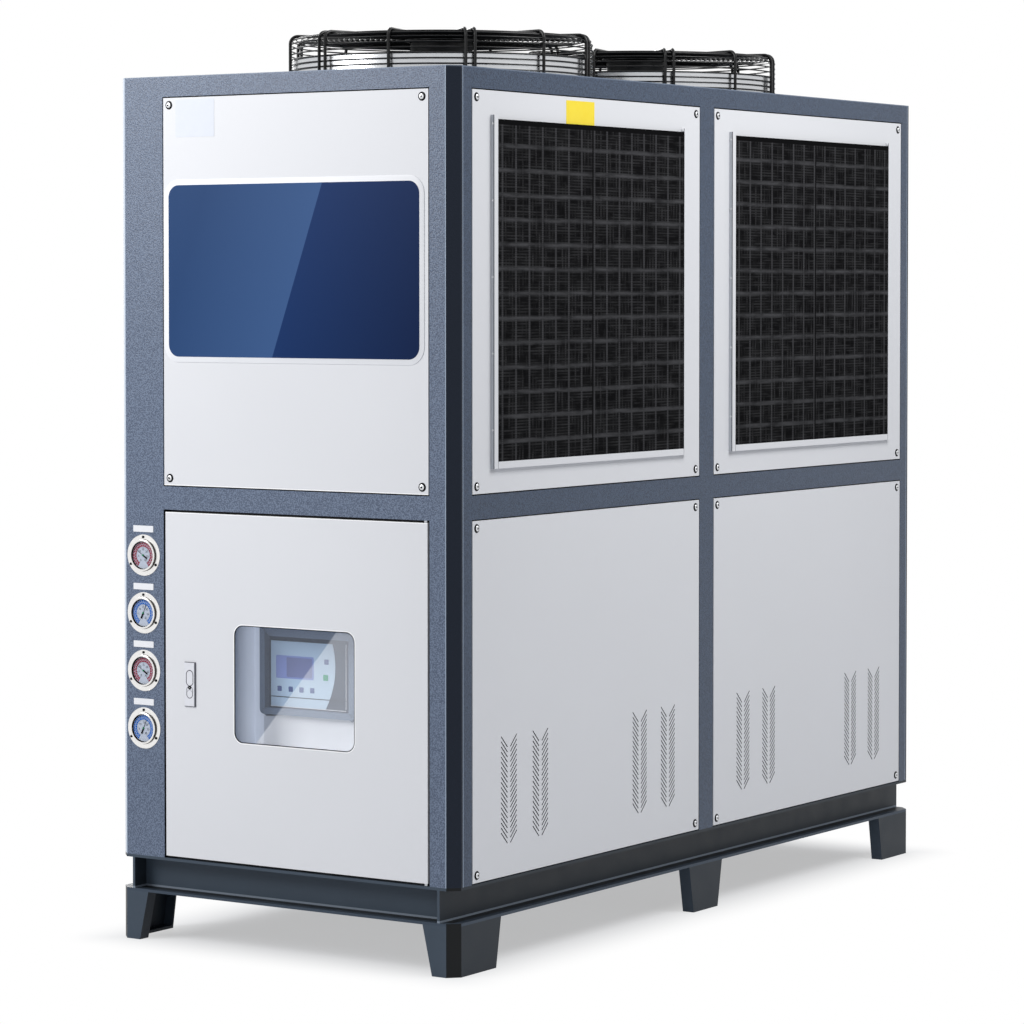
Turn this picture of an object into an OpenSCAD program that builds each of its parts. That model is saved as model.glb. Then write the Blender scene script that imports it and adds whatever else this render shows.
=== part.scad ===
// Air cooled water chiller: a steel machine cabinet on feet, with a control
// door, four pressure gauges, side air filters and two roof fans.
// Millimetres. X is across the front, Y runs from the front to the rear,
// Z is up, and the origin is on the floor under the middle of the cabinet.

/* [Cabinet] */
// Width across the front
cab_w = 870; // [760:1:1000]
// Length from the front to the rear
cab_l = 1980; // [1840:1:2300]
// Height of the roof above the floor
cab_h = 1830; // [1780:1:2000]
// Flat cut on the four upright corners
corner_cut = 22; // [12:1:30]
// Thickness of the frame sheet
frame_t = 2; // [1.5:0.1:3]
// Width of the post that carries the gauges
gauge_post_w = 125; // [110:1:160]
// Width of the other posts, seen from the front
post_w = 62; // [50:1:80]
// Width of the posts, seen from the side
post_side_w = 60; // [50:1:80]
// Width of the upright between the two side bays
mullion_w = 60; // [40:1:80]
// Height of the top rails, with the roof sheet
top_rail_h = 43; // [40:1:70]
// Height of the middle rails
mid_rail_h = 49; // [40:1:70]
// Height of the top of the middle rails
mid_rail_z = 968; // [900:1:1000]
// Width of the lips that the panels rest on
lip_w = 12; // [8:1:20]

/* [Base] */
// Height of the feet
foot_h = 103; // [80:1:130]
// Height of the base channels
base_h = 78; // [60:1:100]
// Thickness of the base channels and their flanges
base_t = 6; // [4:0.5:8]
// Depth of the base channel flanges
flange_d = 38; // [30:1:50]
// Width of the cross members
cross_w = 50; // [30:1:80]
// Height of the cross members
cross_h = 60; // [40:1:70]
// Thickness of the foot plate
foot_t = 4; // [3:0.5:6]
// Front leg of a corner foot at its top
foot_front_top = 80; // [70:1:110]
// Front leg of a corner foot at the floor
foot_front_low = 57; // [50:1:69]
// Side leg of a corner foot at its top
foot_side_top = 166; // [150:1:220]
// Side leg of a corner foot at the floor
foot_side_low = 148; // [120:1:149]
// Width of a middle foot at its top
foot_mid_top = 143; // [120:1:200]
// Width of a middle foot at the floor
foot_mid_low = 105; // [80:1:119]
// Depth of the bent ends of the feet
foot_return = 28; // [20:1:36]
// Thickness of the sole plate inside a foot
sole_t = 6; // [4:0.5:8]

/* [Panels] */
// Thickness of the panel sheet
panel_t = 1.5; // [1:0.1:2]
// Depth of a panel, from its face to the lip it rests on
panel_d = 22; // [16:1:24]
// Gap round a fixed panel
panel_gap = 2.5; // [1:0.1:3]
// Margin of the coil window at the panel ends
window_side = 77; // [60:1:100]
// Margin of the coil window at the panel foot
window_foot = 60; // [50:1:90]
// Margin of the coil window at the panel head
window_head = 60; // [45:1:80]

/* [Louvre slots] */
// Length of one slot
slot_l = 33; // [24:1:36]
// Width of one slot
slot_w = 2.5; // [2:0.1:3.5]
// Height from one slot to the next
slot_pitch = 10.4; // [9:0.1:14]
// Slots in one column
slot_count = 20; // [12:1:22]
// Gap between the two columns of a group
slot_column_gap = 11; // [8:1:16]
// Height of the lowest slot above the panel foot
slot_foot = 62; // [50:1:90]
// Distance of the inner groups from the panel middle
slot_inner = 197; // [120:1:210]
// Distance of the outer groups from the panel middle
slot_outer = 315; // [300:1:350]

/* [Filters] */
// Width of the filter rails
rail_w = 14; // [12:1:20]
// How far the filter rails rise above the window
rail_rise = 11; // [8:1:16]
// How far the filter rails stand out
rail_out = 9; // [8:0.5:14]
// Thickness of the rail sheet
rail_t = 1.2; // [1:0.1:1.5]
// Gap where two rails meet
rail_joint = 1; // [0.5:0.1:2]
// Overlap of the rails past the window edge
rail_past = 3; // [0:1:6]
// How far the filter reaches above the window
filter_rise = 3; // [2:1:6]
// Thickness of the filter net
net_t = 1; // [0.8:0.1:1.5]
// Thickness of the filter border and grid
grid_t = 3; // [2:0.1:4]
// Width of the filter border
filter_border = 14; // [10:1:18]
// Width of a grid bar
grid_bar = 5; // [3:0.5:8]
// Distance from one grid bar to the next
grid_pitch = 50; // [40:1:60]
// Thickness of a condenser coil
coil_t = 44; // [30:1:60]
// How far a coil reaches past its window
coil_past = 15; // [5:1:20]

/* [Door] */
// Gap round the door
door_gap = 5; // [5:0.5:6]
// Depth of the door tray
door_d = 17; // [15:0.5:17]
// Distance of the hinge axis from the door edge and face
hinge_in = 7.5; // [6:0.5:9]
// Radius of a hinge pin
hinge_r = 2.5; // [2:0.1:3]
// How far a hinge pin reaches into the door
hinge_reach = 9; // [6:1:14]
// Running gap of pins and shafts
run_gap = 0.3; // [0.2:0.05:0.4]
// Left edge of the door window, from the door edge
glass_left = 187; // [150:1:220]
// Width of the door window
glass_w = 310; // [250:1:330]
// Lower edge of the door window above the floor
glass_z = 438; // [380:1:480]
// Height of the door window
glass_h = 246; // [200:1:280]
// Corner radius of the door window
glass_r = 22; // [10:1:40]
// Thickness of the window pane
pane_t = 4; // [3:0.5:5]
// Overlap of the pane behind the door sheet
pane_past = 15; // [10:1:20]

/* [Latch] */
// Width of the latch plate
latch_w = 29; // [26:1:34]
// Height of the latch plate
latch_h = 94; // [86:1:104]
// Distance of the latch middle from the door edge
latch_in = 66; // [50:1:80]
// Height of the latch middle above the floor
latch_z = 553; // [500:1:600]
// Depth of the latch body behind the door face
latch_d = 14; // [12:1:16]
// How far the latch plate stands out
latch_out = 3; // [2:0.5:4]
// Overlap of the latch plate past its cut-out
latch_past = 2; // [1:0.1:2.5]
// Bevel round the latch plate
latch_bevel = 1; // [0.5:0.1:1.5]
// Width of the latch paddle
paddle_w = 16; // [14:1:18]
// Length of the latch paddle
paddle_l = 31; // [26:0.5:33]
// Distance of the paddle from the top of the latch plate
paddle_down = 18.4; // [14:0.1:19]
// Gap round the latch paddle
paddle_gap = 1; // [0.8:0.1:1.5]
// Radius of the boss round the paddle pin
paddle_r = 3.5; // [3:0.1:4]
// Distance of the paddle pin from the top of the paddle
pin_down = 9; // [8.5:0.5:11]
// Depth of the pocket behind the paddle
pocket_d = 11; // [10.5:0.5:12.5]
// Thickness of the latch paddle
paddle_t = 4; // [3:0.1:5]
// Radius of the paddle pin
paddle_pin_r = 1; // [0.8:0.1:1.2]
// Radius of the lock barrel
lock_r = 3.6; // [3:0.1:4]
// Depth of the lock barrel below the plate face
lock_d = 1; // [0.5:0.1:2]
// Distance of the lock barrel from the top of the latch plate
lock_down = 53.5; // [52:0.1:56]
// Width of the push button
button_w = 16; // [12:1:18]
// Height of the push button
button_h = 18; // [17:1:24]
// Distance of the push button from the top of the latch plate
button_down = 58.5; // [58:0.1:62]
// Width and depth of the groove round the push button
groove_w = 0.8; // [0.5:0.1:1.5]

/* [Control recess] */
// Depth of the switch compartment behind the door lips
tray_d = 96; // [80:1:140]
// Sheet thickness of the switch compartment
tray_t = 2; // [1.5:0.1:3]
// Margin of the recess round the door window
hood_past = 17; // [12:1:24]
// Front edge of the recess behind the door face
hood_front = 12; // [11:0.5:16]
// Depth of the recess back plate behind the door face
hood_depth = 90; // [70:1:100]
// Width of the controller
control_w = 246; // [200:1:280]
// Height of the controller
control_h = 190; // [150:1:220]
// Thickness of the controller
control_t = 12; // [8:1:20]
// Left edge of the controller, from the left edge of the window
control_left = 7; // [0:1:30]
// Lower edge of the controller above the window's lower edge
control_up = 54; // [20:1:55]
// Corner radius of the controller
control_r = 10; // [4:1:20]
// Width of the controller bezel
bezel_w = 22; // [10:1:30]
// Depth of the controller face below its bezel
bezel_d = 2; // [1:0.5:4]

/* [Gauges] */
// Number of pressure gauges
gauge_count = 4; // [1:1:5]
// Diameter of the gauge flange
gauge_flange_d = 88; // [80:1:100]
// Diameter of the gauge bezel
gauge_bezel_d = 67; // [60:1:72]
// Diameter of the gauge dial
gauge_dial_d = 56; // [50:1:58]
// Diameter of the gauge case behind the post
gauge_case_d = 62; // [56:1:64]
// Depth of the gauge case behind the post
gauge_case_l = 40; // [30:1:50]
// How far the gauge bezel stands out
gauge_out = 12; // [10:1:16]
// Thickness of the gauge flange
gauge_flange_t = 2; // [1:0.5:3]
// Depth of the dial below the bezel rim
gauge_dial_in = 6; // [5:0.5:8]
// Thickness of the gauge lens
lens_t = 2; // [1:0.5:2.5]
// Depth of the lens below the bezel rim
lens_in = 1; // [0.5:0.5:1.5]
// Height of the top gauge above the floor
gauge_top_z = 820; // [780:1:830]
// Distance from one gauge to the next
gauge_pitch = 122.5; // [110:0.5:130]
// Distance of the gauges from the left plane
gauge_in = 71; // [66:1:76]

/* [Water ports] */
// Radius of the bore that takes the water pipe
port_bore_r = 30.3; // [25:0.1:32]
// Outer radius of a port socket
port_r = 38; // [36:1:42]
// How far a port stands out at the rear
port_out = 12; // [8:1:40]
// Length of a port socket
port_l = 60; // [50:1:90]
// Radius of the port flange
port_flange_r = 55; // [50:1:65]
// Thickness of the port flange
port_flange_t = 4; // [3:0.5:6]
// Height of the lower port above the floor
port_z = 330; // [280:1:400]
// Distance from the lower port to the upper port
port_pitch = 260; // [200:1:320]
// Distance of the ports from the right edge of the rear panels
port_in = 143; // [90:1:220]

/* [Fans] */
// Gap between the flanges of the two fan rings
fan_gap = 110; // [20:1:200]
// Inner radius of the fan ring
ring_r = 322; // [300:1:325]
// Thickness of the fan ring
ring_t = 3; // [2:0.5:3.5]
// Height of the fan ring above the roof
ring_up = 51; // [40:1:60]
// Gap between the tops of the coils and the mouth of the fan ring
ring_clear = 4.5; // [3:0.5:12]
// Width of the ring flange on the roof
ring_flange_w = 28; // [20:1:40]
// Thickness of the ring flange
ring_flange_t = 3; // [2:0.5:4]
// Radius of the flared mouth under the ring
mouth_r = 25; // [15:1:35]
// Gap between the blade tips and the ring
tip_gap = 10; // [6:1:14]
// Radius of the motor stator
stator_r = 68; // [60:1:75]
// Height of the motor stator
stator_h = 58; // [50:1:66]
// Radius of the motor shaft
shaft_r = 10; // [8:0.5:12]
// Length of the motor shaft
shaft_l = 96; // [90:1:110]
// Radius of the rotor cup
rotor_r = 76; // [72:1:82]
// Height of the rotor cup
rotor_h = 88; // [80:1:92]
// Gap between the stator and the rotor cup
rotor_gap = 5; // [5:0.5:8]
// Blades on one fan
blade_count = 7; // [5:1:8]
// Thickness of a blade
blade_t = 3; // [2:0.5:4]
// Radius of the curve of a blade
blade_curve = 210; // [190:1:300]
// Tilt of a blade
blade_tilt = 27; // [20:1:32]
// Angle that one blade covers at its root
blade_root_angle = 44; // [36:1:50]
// Angle that one blade covers at its tip
blade_tip_angle = 30; // [24:1:36]
// Angle by which the blade tip leads its root
blade_sweep = 20; // [10:1:26]

/* [Fan guards] */
// Height of a fan guard above the roof
guard_h = 105; // [98:1:130]
// Distance of the outer face of a fan guard from the bore of its ring
guard_seat = 15.5; // [12:0.5:18]
// Bend radius at the rim of a fan guard
guard_bend = 20; // [14:1:30]
// Thickness of the spoke wires
spoke_d = 7; // [5:0.5:8]
// Number of spoke wires
spoke_count = 12; // [8:2:14]
// Distance of the two wires of a doubled spoke
spoke_pair = 20; // [16:1:26]
// Thickness of the ring wires
hoop_d = 3.2; // [3:0.1:4]
// Distance from one ring wire to the next
hoop_pitch = 11.5; // [10.5:0.1:16]
// How deep a ring wire is welded into a spoke
weld_d = 0.6; // [0.3:0.1:1]
// Radius of the plate in the middle of the guard
hub_r = 80; // [76:1:84]
// Thickness of the plate in the middle of the guard
hub_t = 4; // [3:0.5:6]

/* [Hidden] */

$fn = 64;

frame_blue = "#5B6878";
base_grey = "#3B424C";
panel_grey = "#DDDEE2";
steel_grey = "#B9BDC2";
guard_black = "#1A1A1A";
latch_grey = "#E8E8EC";

// Overrun that lets a cut pass clear through a face
cut = 1;
// Share of a thickness by which a bend of 45 degrees shifts a sheet's edge
bend_share = tan(45 / 2);
half_w = cab_w / 2;
half_l = cab_l / 2;
body_z = foot_h + base_h;
roof_t = frame_t;
frame_top = cab_h - roof_t;
top_rail_z = cab_h - top_rail_h;
mid_rail_low = mid_rail_z - mid_rail_h;
deck_z = body_z + frame_t;
seat = panel_d;
seat_back = seat + frame_t;
web_in = flange_d + base_t;
upstand_h = 25;

// One side bay runs from a corner post to the middle upright
bay_l = half_l - post_side_w - mullion_w / 2;
bay_y = mullion_w / 2 + bay_l / 2;
ring_flange_r = ring_r + ring_flange_w;
fan_y = ring_flange_r + fan_gap / 2;
guard_r = ring_r + guard_seat;
gauge_edge = gauge_post_w - half_w;
front_edge = half_w - post_w;
upper_h = top_rail_z - mid_rail_z;
lower_h = mid_rail_low - body_z;
lower_gap = 2 * panel_gap;
port_x = front_edge - port_in;

// A rotation that lays a drawing of the front on the front plane: the
// drawing's x stays x, its y becomes z, and its height goes back along y
module on_front(depth) {
    translate([0, depth - half_l, 0]) rotate([90, 0, 0]) mirror([0, 0, 1]) children();
}

// The same for the right side: the drawing's x becomes y, its y becomes z,
// and its height goes inward
module on_right(depth) {
    translate([half_w - depth, 0, 0]) rotate([90, 0, 90]) mirror([0, 0, 1]) children();
}

module both_sides() {
    children();
    mirror([1, 0, 0]) children();
}

module both_ends() {
    children();
    mirror([0, 1, 0]) children();
}

module round_rect(w, h, r) {
    translate([-w / 2 + r, -h / 2]) square([w - 2 * r, h]);
    translate([-w / 2, -h / 2 + r]) square([w, h - 2 * r]);
    for (x = [-1, 1], y = [-1, 1])
        translate([x * (w / 2 - r), y * (h / 2 - r)]) circle(r);
}

// The plan of the cabinet, cut at its corners, drawn inward by a distance
module cabinet_plan(inset) {
    w = half_w - inset;
    l = half_l - inset;
    // A parallel wall keeps its distance along the corner cut too
    c = corner_cut - inset * (1 - bend_share);
    polygon([[-w + c, -l], [w - c, -l], [w, -l + c], [w, l - c],
        [w - c, l], [-w + c, l], [-w, l - c], [-w, -l + c]]);
}

module ring_plan(outer, inner) {
    difference() {
        circle(outer);
        circle(inner);
    }
}

// Base frame

module side_channel() {
    for (z = [foot_h, body_z - base_t])
        translate([0, 0, z]) linear_extrude(base_t) intersection() {
            cabinet_plan(0);
            translate([half_w - web_in, -half_l]) square([web_in, cab_l]);
        }
    translate([half_w - web_in, -half_l, foot_h]) cube([base_t, cab_l, base_h]);
}

module base_side_rails() {
    color(base_grey) both_sides() side_channel();
}

module base_end_rails() {
    run = cab_w - 2 * web_in;
    color(base_grey) both_ends() {
        for (z = [foot_h, body_z - base_t])
            translate([-run / 2, -half_l, z]) cube([run, flange_d, base_t]);
        translate([-run / 2, -half_l + flange_d, foot_h]) cube([run, base_t, base_h]);
    }
}

module base_cross_members() {
    run = cab_w - 2 * web_in;
    low = body_z - cross_h;
    color(base_grey) for (y = [-half_l / 2, 0, half_l / 2])
        translate([-run / 2, y - cross_w / 2, low]) {
            cube([run, base_t, cross_h]);
            cube([run, cross_w, base_t]);
            translate([0, 0, cross_h - base_t]) cube([run, cross_w, base_t]);
        }
}

// A foot plate on one plane: it narrows from its top to the floor
module leg_plate(low, top, depth) {
    rotate([90, 0, 0]) mirror([0, 0, 1]) linear_extrude(depth)
        polygon([[0, 0], [low, 0], [top, foot_h], [0, foot_h]]);
}

// The bent edge of a foot plate, which leans with the plate's edge
module leg_return(low, top) {
    rotate([90, 0, 0]) mirror([0, 0, 1]) linear_extrude(foot_return)
        polygon([[low - foot_t, 0], [low, 0], [top, foot_h], [top - foot_t, foot_h]]);
}

module front_right_corner() {
    translate([half_w, -half_l, 0]) mirror([1, 0, 0]) children();
}

// Leg plates are drawn from the corner: x runs inward along the front
module corner_foot() {
    front_right_corner() {
        intersection() {
            linear_extrude(foot_h) difference() {
                polygon([[corner_cut, 0], [foot_side_top, 0], [foot_side_top, foot_side_top],
                    [0, foot_side_top], [0, corner_cut]]);
                polygon([[corner_cut + foot_t * bend_share, foot_t],
                    [foot_side_top + cut, foot_t],
                    [foot_side_top + cut, foot_side_top + cut], [foot_t, foot_side_top + cut],
                    [foot_t, corner_cut + foot_t * bend_share]]);
            }
            union() {
                leg_plate(foot_front_low, foot_front_top, corner_cut + foot_t);
                mirror([1, -1, 0]) leg_plate(foot_side_low, foot_side_top, corner_cut + foot_t);
            }
        }
        leg_return(foot_front_low, foot_front_top);
        mirror([1, -1, 0]) leg_return(foot_side_low, foot_side_top);
        // Sole plate that the foot stands on
        linear_extrude(sole_t)
            polygon([[corner_cut, 0], [foot_front_low, 0], [foot_front_low, foot_return],
                [foot_return, foot_front_low], [foot_return, foot_side_low],
                [0, foot_side_low], [0, corner_cut]]);
    }
}

module corner_feet() {
    color(base_grey) both_sides() both_ends() corner_foot();
}

module half_middle_foot() {
    leg_plate(foot_mid_low / 2, foot_mid_top / 2, foot_t);
    leg_return(foot_mid_low / 2, foot_mid_top / 2);
    cube([foot_mid_low / 2, foot_return, sole_t]);
}

module middle_foot() {
    translate([half_w, 0, 0]) rotate([0, 0, 90]) {
        half_middle_foot();
        mirror([1, 0, 0]) half_middle_foot();
    }
}

module middle_feet() {
    color(base_grey) both_sides() middle_foot();
}

// A sheet pan with upturned edges that stand behind the panel lips
module pan(z) {
    translate([-half_w + seat_back, -half_l + seat_back, z]) difference() {
        cube([cab_w - 2 * seat_back, cab_l - 2 * seat_back, frame_t + upstand_h]);
        translate([frame_t, frame_t, frame_t])
            cube([cab_w - 2 * seat_back - 2 * frame_t, cab_l - 2 * seat_back - 2 * frame_t,
                upstand_h + cut]);
    }
}

module floor_deck() {
    color(steel_grey) pan(body_z);
}

module plenum_floor() {
    color(steel_grey) pan(mid_rail_z - frame_t);
}

// Frame

// The bent sheet of a corner post in plan, drawn from the corner: x runs
// inward along the front, y runs back along the side
module post_plan(front_w) {
    side_w = post_side_w;
    inner_c = corner_cut + frame_t * bend_share;
    // Front face, corner cut and side face
    polygon([[corner_cut, 0], [front_w, 0], [front_w, frame_t], [inner_c, frame_t],
        [frame_t, inner_c], [frame_t, side_w], [0, side_w], [0, corner_cut]]);
    // Bent edges that go back beside the panels
    translate([front_w - frame_t, 0]) square([frame_t, seat_back]);
    translate([0, side_w - frame_t]) square([seat_back, frame_t]);
    // Lips behind the panels
    translate([front_w - frame_t, seat]) square([lip_w + frame_t, frame_t]);
    translate([seat, side_w - frame_t]) square([frame_t, lip_w + frame_t]);
}

module post(front_w) {
    front_right_corner() translate([0, 0, body_z])
        linear_extrude(frame_top - body_z) post_plan(front_w);
}

function gauge_z(i) = gauge_top_z - i * gauge_pitch;

module gauge_post() {
    color(frame_blue) difference() {
        mirror([1, 0, 0]) post(gauge_post_w);
        for (i = [0 : gauge_count - 1])
            translate([gauge_in - half_w, -half_l - cut, gauge_z(i)])
                rotate([-90, 0, 0]) cylinder(r = gauge_case_d / 2 + cut, h = frame_t + 2 * cut);
    }
}

module front_post() {
    color(frame_blue) post(post_w);
}

module rear_posts() {
    color(frame_blue) both_sides() mirror([0, 1, 0]) post(post_w);
}

// A rail of bent sheet between two posts: its face and bent edges are as
// long as the gap, and its lips stop at the posts' lips
module rail(from, to, low, high, lip_low, lip_high) {
    run = to - from;
    translate([from, low, 0]) {
        cube([run, high - low, frame_t]);
        cube([run, frame_t, seat]);
        translate([0, high - low - frame_t, 0]) cube([run, frame_t, seat]);
    }
    translate([from + lip_w, 0, seat]) {
        if (lip_low)
            translate([0, low - lip_w, 0]) cube([run - 2 * lip_w, lip_w + frame_t, frame_t]);
        if (lip_high)
            translate([0, high - frame_t, 0]) cube([run - 2 * lip_w, lip_w + frame_t, frame_t]);
    }
}

module rail_set(low, high, lip_high) {
    color(frame_blue) {
        on_front(0) rail(gauge_edge, front_edge, low, high, true, lip_high);
        mirror([0, 1, 0]) on_front(0) rail(-front_edge, front_edge, low, high, true, lip_high);
        both_sides() on_right(0)
            rail(post_side_w - half_l, half_l - post_side_w, low, high, true, lip_high);
    }
}

module top_rails() {
    rail_set(top_rail_z, frame_top, false);
}

module middle_rails() {
    rail_set(mid_rail_low, mid_rail_z, true);
}

// One length of the middle upright of a side, with a lip on each hand
module upright(low, high, lip_low, lip_high) {
    w = mullion_w;
    color(frame_blue) on_right(0) {
        translate([-w / 2, low, 0]) {
            cube([w, high - low, frame_t]);
            cube([frame_t, high - low, seat]);
            translate([w - frame_t, 0, 0]) cube([frame_t, high - low, seat]);
        }
        for (side = [0, 1]) mirror([side, 0, 0])
            translate([w / 2 - frame_t, lip_low, seat])
                cube([lip_w + frame_t, lip_high - lip_low, frame_t]);
    }
}

module side_uprights() {
    both_sides() {
        upright(body_z, mid_rail_low, body_z, mid_rail_low - lip_w);
        upright(mid_rail_z, top_rail_z, mid_rail_z + lip_w, top_rail_z - lip_w);
    }
}

module roof_panel() {
    color(frame_blue) translate([0, 0, frame_top]) linear_extrude(roof_t) difference() {
        cabinet_plan(0);
        for (y = [-fan_y, fan_y]) translate([0, y]) circle(ring_r + ring_t + run_gap, $fn = 96);
    }
}

// Panels

// A folded tray with its face at the front, drawn on the plane of its face
module tray(w, h, t, depth) {
    difference() {
        translate([-w / 2, -h / 2, 0]) cube([w, h, depth]);
        translate([-w / 2 + t, -h / 2 + t, t]) cube([w - 2 * t, h - 2 * t, depth]);
    }
}

module front_upper_panel() {
    w = front_edge - gauge_edge - 2 * panel_gap;
    h = upper_h - 2 * panel_gap;
    color(panel_grey) on_front(0)
        translate([(front_edge + gauge_edge) / 2, mid_rail_z + upper_h / 2, 0])
            tray(w, h, panel_t, panel_d);
}

module rear_panels() {
    w = 2 * front_edge - 2 * panel_gap;
    color(panel_grey) mirror([0, 1, 0]) on_front(0) {
        translate([0, mid_rail_z + upper_h / 2, 0])
            tray(w, upper_h - 2 * panel_gap, panel_t, panel_d);
        difference() {
            translate([0, body_z + lower_h / 2, 0])
                tray(w, lower_h - 2 * panel_gap, panel_t, panel_d);
            for (i = [0, 1]) translate([port_x, port_z + i * port_pitch, -cut])
                cylinder(r = port_r + run_gap, h = panel_t + 2 * cut);
        }
    }
}

bay_panel_l = bay_l - 2 * panel_gap;
coil_panel_h = upper_h - 2 * panel_gap;
coil_panel_z = mid_rail_z + panel_gap;
window_l = bay_panel_l - 2 * window_side;
window_h = coil_panel_h - window_foot - window_head;
window_z = coil_panel_z + window_foot;

module coil_panel() {
    difference() {
        translate([0, coil_panel_z + coil_panel_h / 2, 0])
            tray(bay_panel_l, coil_panel_h, panel_t, panel_d);
        translate([-window_l / 2, window_z, -cut]) cube([window_l, window_h, panel_t + 2 * cut]);
    }
}

module each_bay() {
    for (y = [-bay_y, bay_y]) on_right(0) translate([y, 0, 0]) children();
}

module coil_panels_right() {
    color(panel_grey) each_bay() coil_panel();
}

module coil_panels_left() {
    mirror([1, 0, 0]) coil_panels_right();
}

// One column of slots, which fall at 45 degrees towards the group's middle
module slot_column() {
    reach = slot_l / sqrt(2);
    for (i = [0 : slot_count - 1])
        translate([-(slot_column_gap + reach) / 2, i * slot_pitch])
            rotate(-45) square([slot_l, slot_w], center = true);
}

module slot_group() {
    slot_column();
    mirror([1, 0, 0]) slot_column();
}

vent_panel_h = lower_h - lower_gap;
vent_panel_z = body_z + lower_gap / 2;

module vent_panel() {
    translate([0, vent_panel_z + vent_panel_h / 2, 0]) difference() {
        tray(bay_panel_l, vent_panel_h, panel_t, panel_d);
        translate([0, -vent_panel_h / 2 + slot_foot + slot_l / 2, -cut])
            linear_extrude(panel_t + 2 * cut)
                for (x = [-slot_outer, -slot_inner, slot_inner, slot_outer])
                    translate([x, 0]) slot_group();
    }
}

module vent_panels_right() {
    color(panel_grey) each_bay() vent_panel();
}

module vent_panels_left() {
    mirror([1, 0, 0]) vent_panels_right();
}

// Filters and coils

rail_span = window_l - 2 * rail_past;
rail_foot_z = window_z - rail_w + rail_past;
rail_head_z = window_z + window_h + rail_rise;

// A bent channel that lies on the panel, open towards its left hand
module rail_channel(length) {
    translate([0, 0, -rail_out]) {
        translate([0, 0, rail_out - rail_t]) cube([rail_w, length, rail_t]);
        translate([rail_w - rail_t, 0, 0]) cube([rail_t, length, rail_out]);
        cube([rail_w, length, rail_t]);
    }
}

module filter_rail_set() {
    for (side = [0, 1]) mirror([side, 0, 0])
        translate([rail_span / 2, rail_foot_z, 0]) rail_channel(rail_head_z - rail_foot_z);
    translate([rail_joint - rail_span / 2, rail_foot_z + rail_w, 0])
        rotate([0, 0, -90]) rail_channel(rail_span - 2 * rail_joint);
}

module filter_rails_right() {
    color(panel_grey) each_bay() filter_rail_set();
}

module filter_rails_left() {
    mirror([1, 0, 0]) filter_rails_right();
}

// The filter slides in the rails: it is as wide as the rails let it be
filter_l = rail_span + 2 * (rail_w - rail_t - run_gap);
filter_foot = rail_foot_z + rail_t + run_gap;
filter_h = window_z + window_h + filter_rise - filter_foot;

module filter_screen() {
    inner_l = filter_l - 2 * filter_border;
    inner_h = filter_h - 2 * filter_border;
    bars_x = floor(inner_l / 2 / grid_pitch);
    bars_y = floor(inner_h / 2 / grid_pitch);
    depth = rail_out - rail_t - run_gap;
    translate([0, filter_foot + filter_h / 2, -depth]) {
        translate([-filter_l / 2, -filter_h / 2, 0]) cube([filter_l, filter_h, net_t]);
        linear_extrude(net_t + grid_t) {
            difference() {
                square([filter_l, filter_h], center = true);
                square([inner_l, inner_h], center = true);
            }
            for (i = [-bars_x : bars_x]) translate([i * grid_pitch, 0])
                square([grid_bar, inner_h + filter_border], center = true);
            for (i = [-bars_y : bars_y]) translate([0, i * grid_pitch])
                square([inner_l + filter_border, grid_bar], center = true);
        }
    }
}

module filter_screens_right() {
    color(guard_black) each_bay() filter_screen();
}

module filter_screens_left() {
    mirror([1, 0, 0]) filter_screens_right();
}

coil_top = window_z + window_h + coil_past;

module condenser_coils() {
    l = window_l + 2 * coil_past;
    color(steel_grey) both_sides() each_bay()
        translate([-l / 2, mid_rail_z, seat_back + frame_t])
            cube([l, coil_top - mid_rail_z, coil_t]);
}

// Fans

module each_fan(y) {
    translate([0, y, 0]) children();
}

module fan_ring(y) {
    low = coil_top + ring_clear + mouth_r;
    color(steel_grey) each_fan(y) {
        translate([0, 0, low]) rotate_extrude($fn = 96)
            translate([ring_r, 0]) square([ring_t, cab_h + ring_up - low]);
        // Flange that is fixed on the roof
        translate([0, 0, cab_h]) linear_extrude(ring_flange_t)
            ring_plan(ring_flange_r, ring_r + ring_t / 2, $fn = 96);
        // Flared mouth that leads the air in
        translate([0, 0, low]) rotate_extrude($fn = 96)
            translate([ring_r + mouth_r, 0]) intersection() {
                ring_plan(mouth_r, mouth_r - ring_t);
                translate([-mouth_r, -mouth_r]) square([mouth_r, mouth_r]);
            }
    }
}

module fan_ring_front() {
    fan_ring(-fan_y);
}

module fan_ring_rear() {
    fan_ring(fan_y);
}

guard_top = cab_h + guard_h;
spoke_foot = cab_h + ring_flange_t;
hub_z = guard_top - spoke_d - hub_t + weld_d;

// One spoke wire, from the middle plate out, over the rim and down to the
// ring flange
module spoke() {
    r = spoke_d / 2;
    leg_x = guard_r - r;
    bend = guard_bend - r;
    translate([0, 0, guard_top - r]) rotate([0, 90, 0])
        translate([0, 0, hub_r / 2]) cylinder(r = r, h = leg_x - bend - hub_r / 2, $fn = 8);
    translate([leg_x, 0, spoke_foot])
        cylinder(r = r, h = guard_top - r - bend - spoke_foot, $fn = 8);
    translate([leg_x - bend, 0, guard_top - r - bend])
        rotate([90, 0, 0]) rotate_extrude(angle = 90)
            translate([bend, 0]) circle(r, $fn = 8);
}

// One ring wire of four sides
module hoop(radius, z) {
    translate([0, 0, z]) rotate_extrude($fn = 72)
        translate([radius, 0]) square(hoop_d, center = true);
}

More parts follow.
